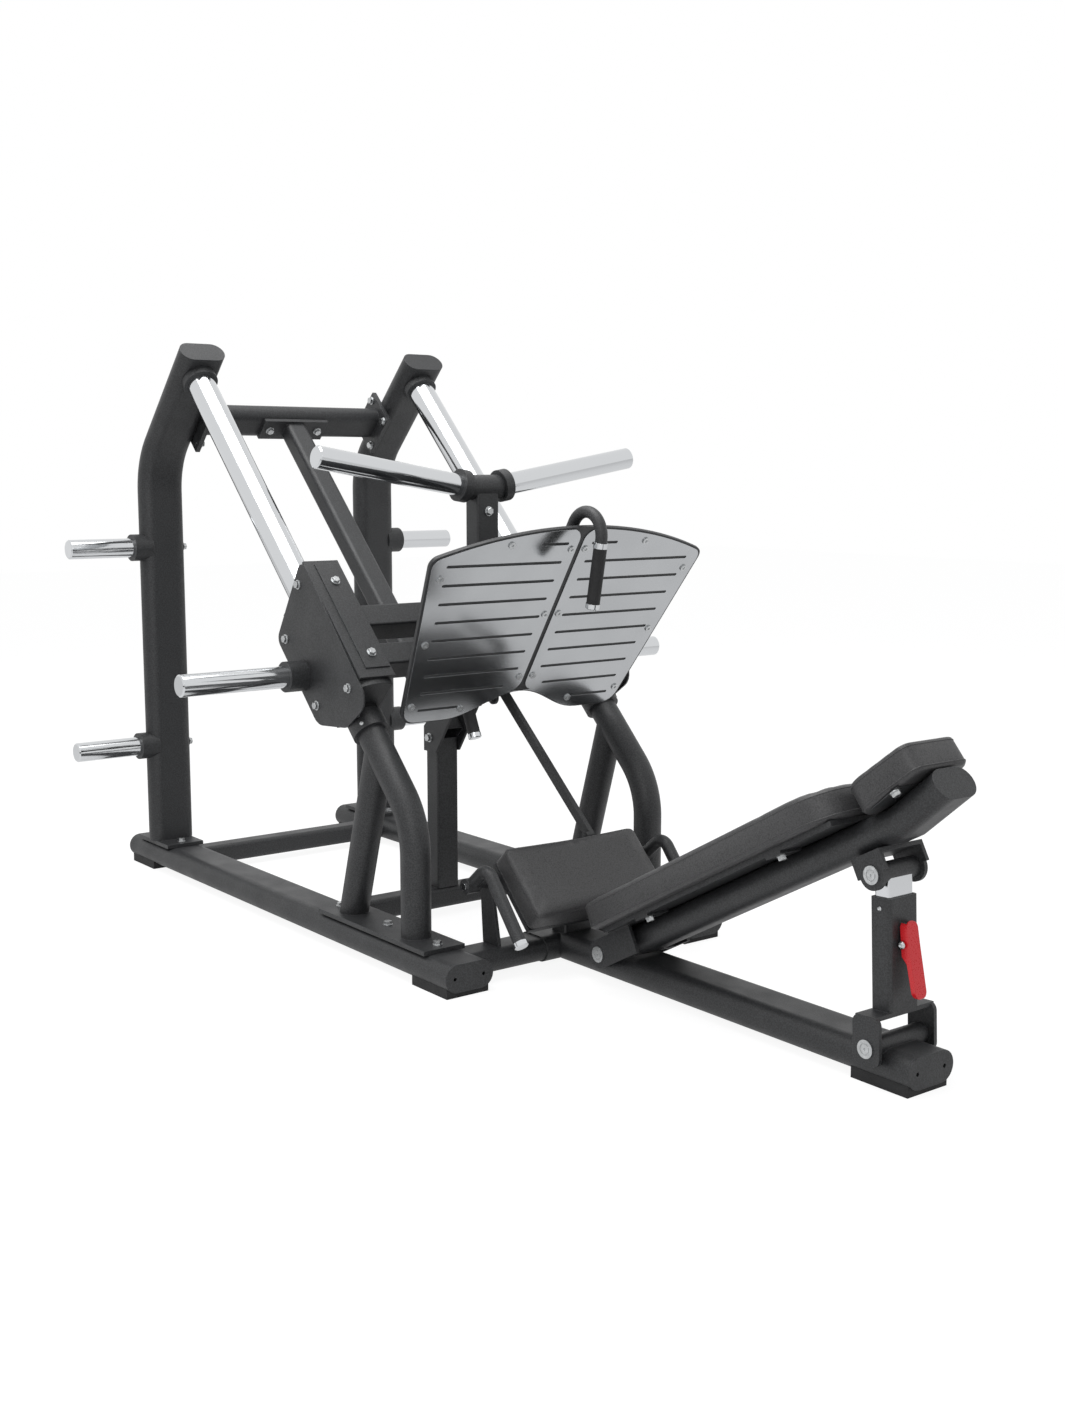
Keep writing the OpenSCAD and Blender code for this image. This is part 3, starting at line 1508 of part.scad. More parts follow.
module pad_bolts() {
    color(steel) {
        on_back() for (side = [-1, 1], a = bracket_at)
            translate([a, side * pad_bolt_y, tube_h / 2 - bracket_t])
            rotate([180, 0, 0]) bolt_head();
        on_head() for (side = [-1, 1]) translate([head_bolt_at, side * (head_half - 28),
            tube_h / 2 + head_plate_t - 2])
            rotate([180, 0, 0]) bolt_head();
    }
}

module clevis_pin() {
    color(steel) on_back() translate([strut_back_at, 0, -strut_drop]) capped_pin(clevis_half);
}

// Outer tube of the strut on its fork, with the lug of the red lever
module strut_tube() {
    color(black) on_strut() {
        difference() {
            translate([0, 0, fork_h]) linear_extrude(strut_len)
                soft_ring(strut_d, strut_w, 8, strut_wall);
            translate([0, 0, pin_at]) rotate([0, 90, 0]) cylinder(d = lock_d + 2 * pin_gap, h = strut_d);
        }
        translate([-strut_d / 2, -base_half, fork_h - clevis_t]) cube([strut_d, 2 * base_half, clevis_t]);
        for (side = [-1, 1]) translate([0, side * (base_half - clevis_t / 2), 0]) rotate([90, 0, 0])
            linear_extrude(clevis_t, center = true) difference() {
                translate([0, (fork_h - fork_low) / 2]) soft_square(fork_w, fork_h + fork_low, 16);
                circle(d = pin_d + 2 * pin_gap);
            }
        translate([strut_d / 2, -lug_half, handle_at - lug_h / 2]) difference() {
            cube([lug_out + 6, 2 * lug_half, lug_h]);
            translate([lug_out, lug_half, lug_h / 2])
                across(handle_pin_d + 2 * pin_gap, -lug_half - 1, lug_half + 1);
        }
    }
}

// Chrome post that slides in the strut tube, with a slot for the lock pin
module strut_post() {
    color(chrome) on_strut() {
        difference() {
            translate([0, 0, fork_h + 4]) linear_extrude(strut_reach - fork_h - 4)
                soft_square(inner_d, inner_w, 6);
            translate([0, 0, strut_reach]) across(sleeve_d, -strut_w, strut_w);
            translate([0, 0, pin_at]) rotate([0, 90, 0]) linear_extrude(strut_d) {
                circle(d = lock_d + 1);
                translate([0, -(lock_d + 1) / 2]) square([strut_travel, lock_d + 1]);
                translate([strut_travel, 0]) circle(d = lock_d + 1);
            }
        }
    }
}

// Sleeve of the sliding post, loose on the upper pin
module post_sleeve() {
    color(black) on_strut() translate([0, 0, strut_reach]) difference() {
        across(sleeve_d, -clevis_half + clevis_t + 1, clevis_half - clevis_t - 1);
        across(pin_d + 2 * open_gap, -strut_w, strut_w);
    }
}

// Red lever: pressing its lower end in pulls the lock pin out
module red_lever() {
    color(red) on_strut() translate([strut_d / 2, 0, handle_at]) {
        intersection() {
            translate([0, handle_w / 2, 0]) rotate([90, 0, 0]) difference() {
                translate([0, 0, -1]) linear_extrude(handle_w + 2)
                    polygon(rounded(handle_pts, handle_rs));
                translate([0, 0, handle_wall]) linear_extrude(handle_w - 2 * handle_wall)
                    polygon(handle_hollow);
                translate([lug_out, 0, -2]) cylinder(d = handle_pin_d, h = handle_w + 4);
            }
            translate([-strut_d, 0, handle_up - handle_len / 2]) rotate([0, 90, 0])
                linear_extrude(3 * strut_d) soft_square(handle_len - 1, handle_w, handle_w / 2 - 1);
        }
        translate([lug_out, 0, 0]) across(handle_pin_d, -handle_w / 2 - 2, handle_w / 2 + 2);
    }
}

module lock_pin() {
    color(steel) on_strut() translate([strut_d / 2 - 9, 0, pin_at]) rotate([0, 90, 0])
        cylinder(d = lock_d, h = 18);
}

side_rail_left();
side_rail_right();
rear_cross_beam();
middle_cross_beam();
front_cross_beam();
spine_beam();
end_caps();
rubber_feet();
upright_left();
upright_right();
top_cross_beam();
diagonal_beam();
centre_post();
guide_rod_left();
guide_rod_right();
rod_collars();
leg_left();
leg_right();
frame_bolts();
storage_horns();
storage_collars();
bumpers();
stop_bracket();
seat_frame();
seat_pad();
hinge_pins();
side_plate_left();
side_plate_right();
inner_plates();
front_covers();
bearing_housings();
rod_bearings();
carriage_frame();
foot_plate_backing();
foot_plate_left();
foot_plate_right();
foot_plate_screws();
side_horns();
top_horns();
horn_collars();
horn_post();
horn_hub();
carriage_bolts();
gooseneck_handle();
hand_grips();
grip_caps();
release_levers();
lever_caps();
link_bar();
stop_arm();
back_frame();
back_pad();
head_pad();
pad_bolts();
clevis_pin();
strut_tube();
strut_post();
post_sleeve();
red_lever();
lock_pin();
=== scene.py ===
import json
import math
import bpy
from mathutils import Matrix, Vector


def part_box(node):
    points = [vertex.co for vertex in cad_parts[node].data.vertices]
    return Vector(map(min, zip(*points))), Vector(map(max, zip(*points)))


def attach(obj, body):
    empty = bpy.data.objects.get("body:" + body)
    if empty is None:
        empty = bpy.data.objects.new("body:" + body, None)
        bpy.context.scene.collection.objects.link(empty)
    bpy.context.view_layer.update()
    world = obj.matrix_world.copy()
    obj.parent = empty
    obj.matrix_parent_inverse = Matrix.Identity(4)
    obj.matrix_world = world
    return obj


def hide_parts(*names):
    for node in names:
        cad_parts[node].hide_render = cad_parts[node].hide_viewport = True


bl_info = {
    "name": "Leg press machine",
    "version": (1, 0, 0),
    "blender": (4, 5, 0),
    "location": "View3D > Sidebar > Leg press",
    "description": "Finishes, pads, fasteners and stage of a plate-loaded leg press",
    "category": "Add Mesh",
}

import bmesh
import bpy
from bpy.props import FloatProperty, FloatVectorProperty, IntProperty, PointerProperty, StringProperty
from mathutils import Matrix, Vector

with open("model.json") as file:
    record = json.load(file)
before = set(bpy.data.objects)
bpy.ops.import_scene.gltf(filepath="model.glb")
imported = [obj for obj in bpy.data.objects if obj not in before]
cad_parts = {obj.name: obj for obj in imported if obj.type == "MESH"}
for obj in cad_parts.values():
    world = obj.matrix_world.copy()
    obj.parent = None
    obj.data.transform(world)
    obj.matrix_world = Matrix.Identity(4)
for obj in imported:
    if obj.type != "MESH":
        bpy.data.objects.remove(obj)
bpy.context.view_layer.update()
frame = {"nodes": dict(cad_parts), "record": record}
nodes = frame["nodes"]

MM = 0.001
GLUED_HEIGHT = 6 * MM  # foam below this is glued to the pad's board
PIN_HEAD_RISE = 5 * MM
GUIDE_SCREW_RISE = 3 * MM
SOCKET_SHARE = 0.45  # of a button screw's radius
RADIUS_SLACK = 0.06  # share by which a CAD bolt's faceted radius may miss its size
FLOOR_HALF = 14.0
CARD_AIM = Vector((0, 0, 0.7))
PAPER_GLOW = 1.22  # strength of the paper's own light
GLOW_TO_CAMERA = 0.74  # share of that light that the camera sees, the rest takes the shadow
GLOW_TO_CHROME = 0.45  # share of it that reflections see


# ---------------------------------------------------------------- helpers

def hex_colour(code):
    """sRGB hex to a linear RGBA value."""
    parts = [int(code[i:i + 2], 16) / 255 for i in (1, 3, 5)]
    return tuple(c / 12.92 if c <= 0.04045 else ((c + 0.055) / 1.055) ** 2.4 for c in parts) + (1.0,)


def add_node(tree, kind, inputs=None, **settings):
    """Adds one node, sets its properties, and fills or links its inputs."""
    node = tree.nodes.new(kind)
    for key, value in settings.items():
        setattr(node, key, value)
    for key, value in (inputs or {}).items():
        if isinstance(value, bpy.types.NodeSocket):
            tree.links.new(value, node.inputs[key])
        else:
            node.inputs[key].default_value = value
    return node


def new_material(name):
    """An empty node material with its output, shader and object coordinates."""
    material = bpy.data.materials.new(name)
    material.use_nodes = True
    tree = material.node_tree
    tree.nodes.clear()
    output = add_node(tree, "ShaderNodeOutputMaterial")
    shader = add_node(tree, "ShaderNodeBsdfPrincipled")
    tree.links.new(shader.outputs["BSDF"], output.inputs["Surface"])
    where = add_node(tree, "ShaderNodeTexCoord").outputs["Object"]
    return material, tree, shader, where


def grain(tree, where, size_mm, detail=2.0, roughness=0.5):
    """Noise whose grains are about size_mm across."""
    return add_node(tree, "ShaderNodeTexNoise", {
        "Vector": where, "Scale": 1 / (size_mm * MM), "Detail": detail, "Roughness": roughness,
    }).outputs["Fac"]


def ramp(tree, value, low, high, to_low, to_high):
    """Maps value from low..high to to_low..to_high."""
    return add_node(tree, "ShaderNodeMapRange", {
        "Value": value, "From Min": low, "From Max": high, "To Min": to_low, "To Max": to_high,
    }).outputs["Result"]


def blend_colours(tree, factor, first, second):
    """Goes from the first colour to the second as factor goes from 0 to 1."""
    mix = add_node(tree, "ShaderNodeMix", {"Factor": factor}, data_type="RGBA")
    for key, value in ((6, first), (7, second)):
        if isinstance(value, bpy.types.NodeSocket):
            tree.links.new(value, mix.inputs[key])
        else:
            mix.inputs[key].default_value = value
    return mix.outputs[2]


def bump(tree, height, strength, distance_mm, normal=None):
    """A bumped normal, laid over another normal where one is given."""
    node = add_node(
        tree, "ShaderNodeBump", {"Height": height, "Strength": strength, "Distance": distance_mm * MM},
    )
    if normal:
        tree.links.new(normal, node.inputs["Normal"])
    return node.outputs["Normal"]


def new_object(name, mesh):
    """Puts a mesh into the scene as an object."""
    piece = bpy.data.objects.new(name, mesh)
    bpy.context.scene.collection.objects.link(piece)
    return piece


def bare_mesh(piece, name):
    """The evaluated object as a plain mesh."""
    graph = bpy.context.evaluated_depsgraph_get()
    graph.update()
    mesh = bpy.data.meshes.new_from_object(piece.evaluated_get(graph))
    mesh.name = name
    return mesh


# ---------------------------------------------------------------- materials

def powder_coat(name, base, light, edge_highlight):
    """Textured polyester powder coat on steel tube: satin, with a fine sandy grain and a painted highlight
    along the edges.
    """
    material, tree, shader, where = new_material(name)
    # the real grain is about 0.5 mm; it is drawn near 3 mm so that it shows
    fine = grain(tree, where, 3.0, 3.0, 0.75)
    broad = grain(tree, where, 60, 2.0)
    mixed = blend_colours(tree, ramp(tree, fine, 0.42, 0.6, 0.0, 1.0), base, light)
    soft = add_node(tree, "ShaderNodeBevel", {"Radius": 1.6 * MM}, samples=4).outputs["Normal"]
    flat = add_node(tree, "ShaderNodeNewGeometry").outputs["Normal"]
    facing = add_node(
        tree, "ShaderNodeVectorMath", {0: soft, 1: flat}, operation="DOT_PRODUCT",
    ).outputs["Value"]
    # painted highlight: the colour turns paler along edges, where the bevelled normal leaves the true one,
    # for the light that edges catch
    edge = ramp(tree, facing, 0.985, 0.86, 0.0, 0.75)
    tree.links.new(blend_colours(tree, edge, mixed, edge_highlight), shader.inputs["Base Color"])
    tree.links.new(ramp(tree, broad, 0.3, 0.7, 0.44, 0.54), shader.inputs["Roughness"])
    tree.links.new(bump(tree, fine, 0.45, 0.4, soft), shader.inputs["Normal"])
    return material


def chrome_plate(name, colour, roughness):
    """Hard chrome on ground steel bar: mirror bright, with faint polishing haze."""
    material, tree, shader, where = new_material(name)
    shader.inputs["Metallic"].default_value = 1.0
    shader.inputs["Base Color"].default_value = colour
    haze = grain(tree, where, 45, 3.0)
    tree.links.new(ramp(tree, haze, 0.3, 0.7, roughness * 0.8, roughness * 1.3), shader.inputs["Roughness"])
    soft = add_node(tree, "ShaderNodeBevel", {"Radius": 0.8 * MM}, samples=4).outputs["Normal"]
    tree.links.new(bump(tree, grain(tree, where, 3.0, 1.0), 0.02, 0.1, soft), shader.inputs["Normal"])
    return material


def stainless_sheet(name, colour, shade):
    """Polished stainless sheet: cool grey, near mirror, with the faint cloud of wiping."""
    material, tree, shader, where = new_material(name)
    shader.inputs["Metallic"].default_value = 1.0
    cloud = grain(tree, where, 110, 2.0)
    tree.links.new(
        blend_colours(tree, ramp(tree, cloud, 0.3, 0.7, 0.0, 1.0), colour, shade),
        shader.inputs["Base Color"],
    )
    tree.links.new(ramp(tree, cloud, 0.3, 0.7, 0.13, 0.17), shader.inputs["Roughness"])
    soft = add_node(tree, "ShaderNodeBevel", {"Radius": 0.8 * MM}, samples=4).outputs["Normal"]
    tree.links.new(soft, shader.inputs["Normal"])
    return material


def zinc_plate(name, colour, shade):
    """Bright zinc on bolts and pins: pale grey, slightly cloudy, medium gloss."""
    material, tree, shader, where = new_material(name)
    shader.inputs["Metallic"].default_value = 1.0
    cloud = grain(tree, where, 6, 3.0)
    tree.links.new(blend_colours(tree, cloud, colour, shade), shader.inputs["Base Color"])
    tree.links.new(ramp(tree, cloud, 0.3, 0.7, 0.22, 0.4), shader.inputs["Roughness"])
    soft = add_node(tree, "ShaderNodeBevel", {"Radius": 0.7 * MM}, samples=4).outputs["Normal"]
    tree.links.new(bump(tree, cloud, 0.05, 0.1, soft), shader.inputs["Normal"])
    return material


def moulded_rubber(name, colour, light):
    """Moulded black rubber: matt, with a dusty bloom and a fine pebble."""
    material, tree, shader, where = new_material(name)
    pebble = grain(tree, where, 1.8, 2.0)
    bloom = grain(tree, where, 25, 3.0)
    tree.links.new(
        blend_colours(tree, ramp(tree, bloom, 0.35, 0.7, 0.0, 1.0), colour, light),
        shader.inputs["Base Color"],
    )
    tree.links.new(ramp(tree, pebble, 0.3, 0.7, 0.6, 0.78), shader.inputs["Roughness"])
    soft = add_node(tree, "ShaderNodeBevel", {"Radius": 1.2 * MM}, samples=4).outputs["Normal"]
    tree.links.new(bump(tree, pebble, 0.25, 0.3, soft), shader.inputs["Normal"])
    shader.inputs["Specular IOR Level"].default_value = 0.4
    return material


def vinyl_leather(name, base, light):
    """Grained PVC leather over foam: charcoal, pebbled about 1.5 mm, with a soft sheen."""
    material, tree, shader, where = new_material(name)
    # the pebbles are drawn at 2.4 mm, a little coarse, so that they show
    cells = add_node(
        tree, "ShaderNodeTexVoronoi", {"Vector": where, "Scale": 1 / (2.4 * MM)}, feature="SMOOTH_F1",
    )
    pebble = cells.outputs["Distance"]
    crease = grain(tree, where, 9, 4.0, 0.6)
    broad = grain(tree, where, 90, 2.0)
    mixed = blend_colours(tree, ramp(tree, pebble, 0.15, 0.75, 0.0, 1.0), light, base)
    mixed = blend_colours(tree, ramp(tree, broad, 0.3, 0.7, 0.0, 0.3), mixed, light)
    tree.links.new(mixed, shader.inputs["Base Color"])
    tree.links.new(ramp(tree, crease, 0.3, 0.7, 0.4, 0.52), shader.inputs["Roughness"])
    first = bump(tree, pebble, 0.35, 0.35)
    tree.links.new(bump(tree, crease, 0.18, 0.5, first), shader.inputs["Normal"])
    shader.inputs["Specular IOR Level"].default_value = 0.42
    return material


def red_enamel(name, base, light):
    """Gloss red enamel on a pressed steel lever, with a touch of orange peel."""
    material, tree, shader, where = new_material(name)
    peel = grain(tree, where, 2.5, 2.0)
    tree.links.new(blend_colours(tree, peel, base, light), shader.inputs["Base Color"])
    tree.links.new(ramp(tree, peel, 0.3, 0.7, 0.25, 0.34), shader.inputs["Roughness"])
    soft = add_node(tree, "ShaderNodeBevel", {"Radius": 1.2 * MM}, samples=4).outputs["Normal"]
    tree.links.new(bump(tree, peel, 0.1, 0.2, soft), shader.inputs["Normal"])
    return material


finishes = {}


# ---------------------------------------------------------------- geometry nodes

def new_tree(name, **sizes):
    """A geometry node group with a geometry in and out and one named input for each size."""
    tree = bpy.data.node_groups.new(name, "GeometryNodeTree")
    tree.interface.new_socket("Geometry", in_out="INPUT", socket_type="NodeSocketGeometry")
    tree.interface.new_socket("Geometry", in_out="OUTPUT", socket_type="NodeSocketGeometry")
    tree.interface.new_socket("Material", in_out="INPUT", socket_type="NodeSocketMaterial")
    for key in sizes:
        tree.interface.new_socket(
            key, in_out="INPUT", socket_type="NodeSocketFloat",
        ).default_value = sizes[key]
    return tree, add_node(tree, "NodeGroupInput"), add_node(tree, "NodeGroupOutput")


def run_tree(name, tree, mesh, material, **sizes):
    """Runs a node group on a mesh and gives the result as a plain object."""
    piece = new_object(name, mesh)
    modifier = piece.modifiers.new(name, "NODES")
    modifier.node_group = tree
    values = dict(sizes, Material=material)
    for item in tree.interface.items_tree:
        if item.in_out == "INPUT" and item.name in values:
            modifier[item.identifier] = values[item.name]
    made = bare_mesh(piece, name)
    piece.modifiers.remove(modifier)
    piece.data = made
    return piece


def point_mesh(name, places):
    """One vertex per (position, direction), with the direction kept as an attribute."""
    mesh = bpy.data.meshes.new(name)
    mesh.from_pydata([p for p, d in places], [], [])
    facing = mesh.attributes.new("facing", "FLOAT_VECTOR", "POINT")
    for i, (p, d) in enumerate(places):
        facing.data[i].vector = d
    return mesh


def instance_on_points(tree, points, shape, material, output):
    """Stands a shape on every point along its facing attribute, and realizes it."""
    facing = add_node(tree, "GeometryNodeInputNamedAttribute", {"Name": "facing"}, data_type="FLOAT_VECTOR")
    turned = add_node(
        tree, "FunctionNodeAlignRotationToVector", {"Vector": facing.outputs["Attribute"]}, axis="Z",
    )
    placed = add_node(tree, "GeometryNodeInstanceOnPoints", {
        "Points": points, "Instance": shape, "Rotation": turned.outputs["Rotation"],
    })
    real = add_node(tree, "GeometryNodeRealizeInstances", {"Geometry": placed.outputs["Instances"]})
    done = add_node(
        tree, "GeometryNodeSetMaterial", {"Geometry": real.outputs["Geometry"], "Material": material},
    )
    tree.links.new(done.outputs["Geometry"], output.inputs["Geometry"])


def offset_up(tree, height, depth=None):
    """A translation along Z of height, plus half of depth."""
    if depth is not None:
        half = add_node(tree, "ShaderNodeMath", {0: depth, 1: 0.5}, operation="MULTIPLY").outputs[0]
        height = add_node(tree, "ShaderNodeMath", {0: height, 1: half}, operation="ADD").outputs[0]
    return add_node(tree, "ShaderNodeCombineXYZ", {"Z": height}).outputs["Vector"]


def hex_bolt_tree():
    """Washer, hexagon head and its turned chamfer, standing on each point."""
    tree, inputs, output = new_tree(
        "Hex bolts", **{"Washer Radius": 0.011, "Washer": 0.002, "Head Radius": 0.009, "Head": 0.007},
    )
    straight_share, chamfer_share, crown_share = 0.82, 0.18, 0.86
    get = inputs.outputs
    washer = add_node(tree, "GeometryNodeMeshCylinder", {
        "Vertices": 40, "Radius": get["Washer Radius"], "Depth": get["Washer"],
    })
    low = add_node(tree, "GeometryNodeTransform", {
        "Geometry": washer.outputs["Mesh"], "Translation": offset_up(tree, 0.0, get["Washer"]),
    })
    straight = add_node(
        tree, "ShaderNodeMath", {0: get["Head"], 1: straight_share}, operation="MULTIPLY",
    ).outputs[0]
    body = add_node(
        tree, "GeometryNodeMeshCylinder", {"Vertices": 6, "Radius": get["Head Radius"], "Depth": straight},
    )
    middle = add_node(tree, "GeometryNodeTransform", {
        "Geometry": body.outputs["Mesh"], "Translation": offset_up(tree, get["Washer"], straight),
    })
    top_h = add_node(
        tree, "ShaderNodeMath", {0: get["Head"], 1: chamfer_share}, operation="MULTIPLY",
    ).outputs[0]
    top_r = add_node(
        tree, "ShaderNodeMath", {0: get["Head Radius"], 1: crown_share}, operation="MULTIPLY",
    ).outputs[0]
    chamfer = add_node(tree, "GeometryNodeMeshCone", {
        "Vertices": 6, "Radius Bottom": get["Head Radius"], "Radius Top": top_r, "Depth": top_h,
    })
    lift = add_node(tree, "ShaderNodeMath", {0: get["Washer"], 1: straight}, operation="ADD").outputs[0]
    high = add_node(tree, "GeometryNodeTransform", {
        "Geometry": chamfer.outputs["Mesh"], "Translation": offset_up(tree, lift),
    })
    joined = add_node(tree, "GeometryNodeJoinGeometry")
    for part in (low, middle, high):
        tree.links.new(part.outputs["Geometry"], joined.inputs["Geometry"])
    instance_on_points(tree, get["Geometry"], joined.outputs["Geometry"], get["Material"], output)
    return tree


def button_screw_tree():
    """Domed head with a hexagon socket, built from a rim, a dome and a sunk hexagon."""
    tree, inputs, output = new_tree("Button screws", **{"Radius": 0.008, "Height": 0.003, "Socket": 0.0036})
    rim_share, dome_share, crown_share = 0.35, 0.65, 0.62
    get = inputs.outputs
    rim_h = add_node(
        tree, "ShaderNodeMath", {0: get["Height"], 1: rim_share}, operation="MULTIPLY",
    ).outputs[0]
    rim = add_node(
        tree, "GeometryNodeMeshCylinder", {"Vertices": 32, "Radius": get["Radius"], "Depth": rim_h},
    )
    low = add_node(tree, "GeometryNodeTransform", {
        "Geometry": rim.outputs["Mesh"], "Translation": offset_up(tree, 0.0, rim_h),
    })
    dome_h = add_node(
        tree, "ShaderNodeMath", {0: get["Height"], 1: dome_share}, operation="MULTIPLY",
    ).outputs[0]
    dome_r = add_node(
        tree, "ShaderNodeMath", {0: get["Radius"], 1: crown_share}, operation="MULTIPLY",
    ).outputs[0]
    dome = add_node(tree, "GeometryNodeMeshCone", {
        "Vertices": 32, "Radius Bottom": get["Radius"], "Radius Top": dome_r, "Depth": dome_h,
    })
    high = add_node(tree, "GeometryNodeTransform", {
        "Geometry": dome.outputs["Mesh"], "Translation": offset_up(tree, rim_h),
    })
    sunk = add_node(
        tree, "GeometryNodeMeshCylinder", {"Vertices": 6, "Radius": get["Socket"], "Depth": get["Height"]},
    )
    hole = add_node(tree, "GeometryNodeTransform", {
        "Geometry": sunk.outputs["Mesh"], "Translation": offset_up(tree, get["Height"]),
    })
    joined = add_node(tree, "GeometryNodeJoinGeometry")
    for part in (low, high):
        tree.links.new(part.outputs["Geometry"], joined.inputs["Geometry"])
    cut = add_node(tree, "GeometryNodeMeshBoolean", operation="DIFFERENCE")
    union = add_node(tree, "GeometryNodeMeshBoolean", {"Mesh": joined.outputs["Geometry"]}, operation="UNION")
    tree.links.new(union.outputs["Mesh"], cut.inputs["Mesh 1"])
    tree.links.new(hole.outputs["Geometry"], cut.inputs["Mesh 2"])
    instance_on_points(tree, get["Geometry"], cut.outputs["Mesh"], get["Material"], output)
    return tree


def welt_tree():
    """A welt: a round cord swept along a line of points."""
    tree, inputs, output = new_tree("Welt", **{"Radius": 0.0018})
    get = inputs.outputs
    line = add_node(tree, "GeometryNodeMeshToCurve", {"Mesh": get["Geometry"]})
    ring = add_node(tree, "GeometryNodeCurvePrimitiveCircle", {"Resolution": 8, "Radius": get["Radius"]})
    tube = add_node(tree, "GeometryNodeCurveToMesh", {
        "Curve": line.outputs["Curve"], "Profile Curve": ring.outputs["Curve"],
    })
    soft = add_node(tree, "GeometryNodeSetShadeSmooth", {"Geometry": tube.outputs["Mesh"]})
    real = add_node(tree, "GeometryNodeRealizeInstances", {"Geometry": soft.outputs["Geometry"]})
    done = add_node(
        tree, "GeometryNodeSetMaterial", {"Geometry": real.outputs["Geometry"], "Material": get["Material"]},
    )
    tree.links.new(done.outputs["Geometry"], output.inputs["Geometry"])
    return tree


# ---------------------------------------------------------------- reading the frame

def islands(node):
    """The separate solids of a CAD node, each as a list of faces, from a merged copy."""
    bm = bmesh.new()
    bm.from_mesh(nodes[node].data)
    bmesh.ops.remove_doubles(bm, verts=bm.verts, dist=0.01 * MM)
    seen, groups = set(), []
    for start in bm.faces:
        if start in seen:
            continue
        stack, group = [start], []
        seen.add(start)
        while stack:
            face = stack.pop()
            group.append(face)
            for edge in face.edges:
                for other in edge.link_faces:
                    if other not in seen:
                        seen.add(other)
                        stack.append(other)
        groups.append(group)
    return bm, groups


def main_normal(faces):
    """The direction that most of the flat area faces."""
    best, total = None, {}
    for face in faces:
        key = tuple(round(abs(c), 2) for c in face.normal)
        total[key] = total.get(key, 0) + face.calc_area()
        if best is None or total[key] > total[best[0]] + 1e-12:
            best = (key, face.normal.copy())
    return best[1].normalized()


def bolt_places(node, head_radius, washer_radius):
    """Where each bolt of a CAD node stands: the foot of its washer, and the way its head points."""
    bm, groups = islands(node)
    places = []
    for faces in groups:
        axis = main_normal(faces)
        points = {v for f in faces for v in f.verts}
        centre = sum((v.co for v in points), Vector()) / len(points)
        rows = []
        for v in points:
            away = v.co - centre
            along = away.dot(axis)
            rows.append((along, (away - along * axis).length))
        rim = [a for a, r in rows if abs(r - washer_radius) < RADIUS_SLACK * washer_radius]
        head = [a for a, r in rows if abs(r - head_radius) < RADIUS_SLACK * head_radius]
        if not rim or not head:
            raise RuntimeError("no bolt shape in " + node)
        if sum(head) / len(head) < sum(rim) / len(rim):
            axis = -axis
            rim = [-a for a in rim]
        places.append((centre + axis * min(rim), axis))
    bm.free()
    return places


# ---------------------------------------------------------------- upholstery

def pad_frame(bm):
    """The pad's own frame: X across, Y up the slope, Z out of its face, at the middle of its base."""
    area = {}
    for face in bm.faces:
        if face.normal.z > 0.3:
            key = tuple(round(c, 3) for c in face.normal)
            area[key] = area.get(key, 0) + face.calc_area()
    up = Vector(max(area, key=area.get)).normalized()
    across = Vector((0, 1, 0))
    slope = up.cross(across)
    turn = Matrix((across, slope, up)).transposed().to_4x4()
    local = [turn.transposed() @ v.co for v in bm.verts]
    low = Vector([min(p[i] for p in local) for i in range(3)])
    high = Vector([max(p[i] for p in local) for i in range(3)])
    middle = (low + high) / 2
    return turn @ Matrix.Translation((middle.x, middle.y, low.z)), (high - low)


def upholster(node, sizes):
    """A pad: the foam block a little small, remeshed, blown up by cloth pressure, capped and smoothed."""
    bm = bmesh.new()
    bm.from_mesh(nodes[node].data)
    bmesh.ops.remove_doubles(bm, verts=bm.verts, dist=0.05 * MM)
    bmesh.ops.dissolve_limit(bm, angle_limit=math.radians(0.5), verts=bm.verts, edges=bm.edges)
    place, extent = pad_frame(bm)
    bm.transform(place.inverted())
    for v in bm.verts:
        v.co.x *= 1 - 2 * sizes.inset / extent.x
        v.co.y *= 1 - 2 * sizes.inset / extent.y
        v.co.z *= 1 - sizes.inset / extent.z
    mesh = bpy.data.meshes.new(node + "_foam")
    bm.to_mesh(mesh)
    bm.free()
    pad = new_object(node + "_covered", mesh)
    bevel = pad.modifiers.new("Edge", "BEVEL")
    bevel.width = sizes.edge
    bevel.segments = 4
    bevel.limit_method = "ANGLE"
    bevel.angle_limit = math.radians(50)
    remesh = pad.modifiers.new("Remesh", "REMESH")
    remesh.mode = "VOXEL"
    remesh.voxel_size = sizes.voxel
    remesh.use_smooth_shade = True
    pad.data = bare_mesh(pad, pad.name)
    pad.modifiers.clear()
    blow_up(pad, sizes)
    smooth = pad.modifiers.new("Smooth", "SMOOTH")
    smooth.factor = 0.5
    smooth.iterations = 4
    pad.modifiers.new("Subdivide", "SUBSURF").levels = 1
    pad.modifiers["Subdivide"].render_levels = 1
    pad.data = bare_mesh(pad, pad.name)
    pad.modifiers.clear()
    return pad, place


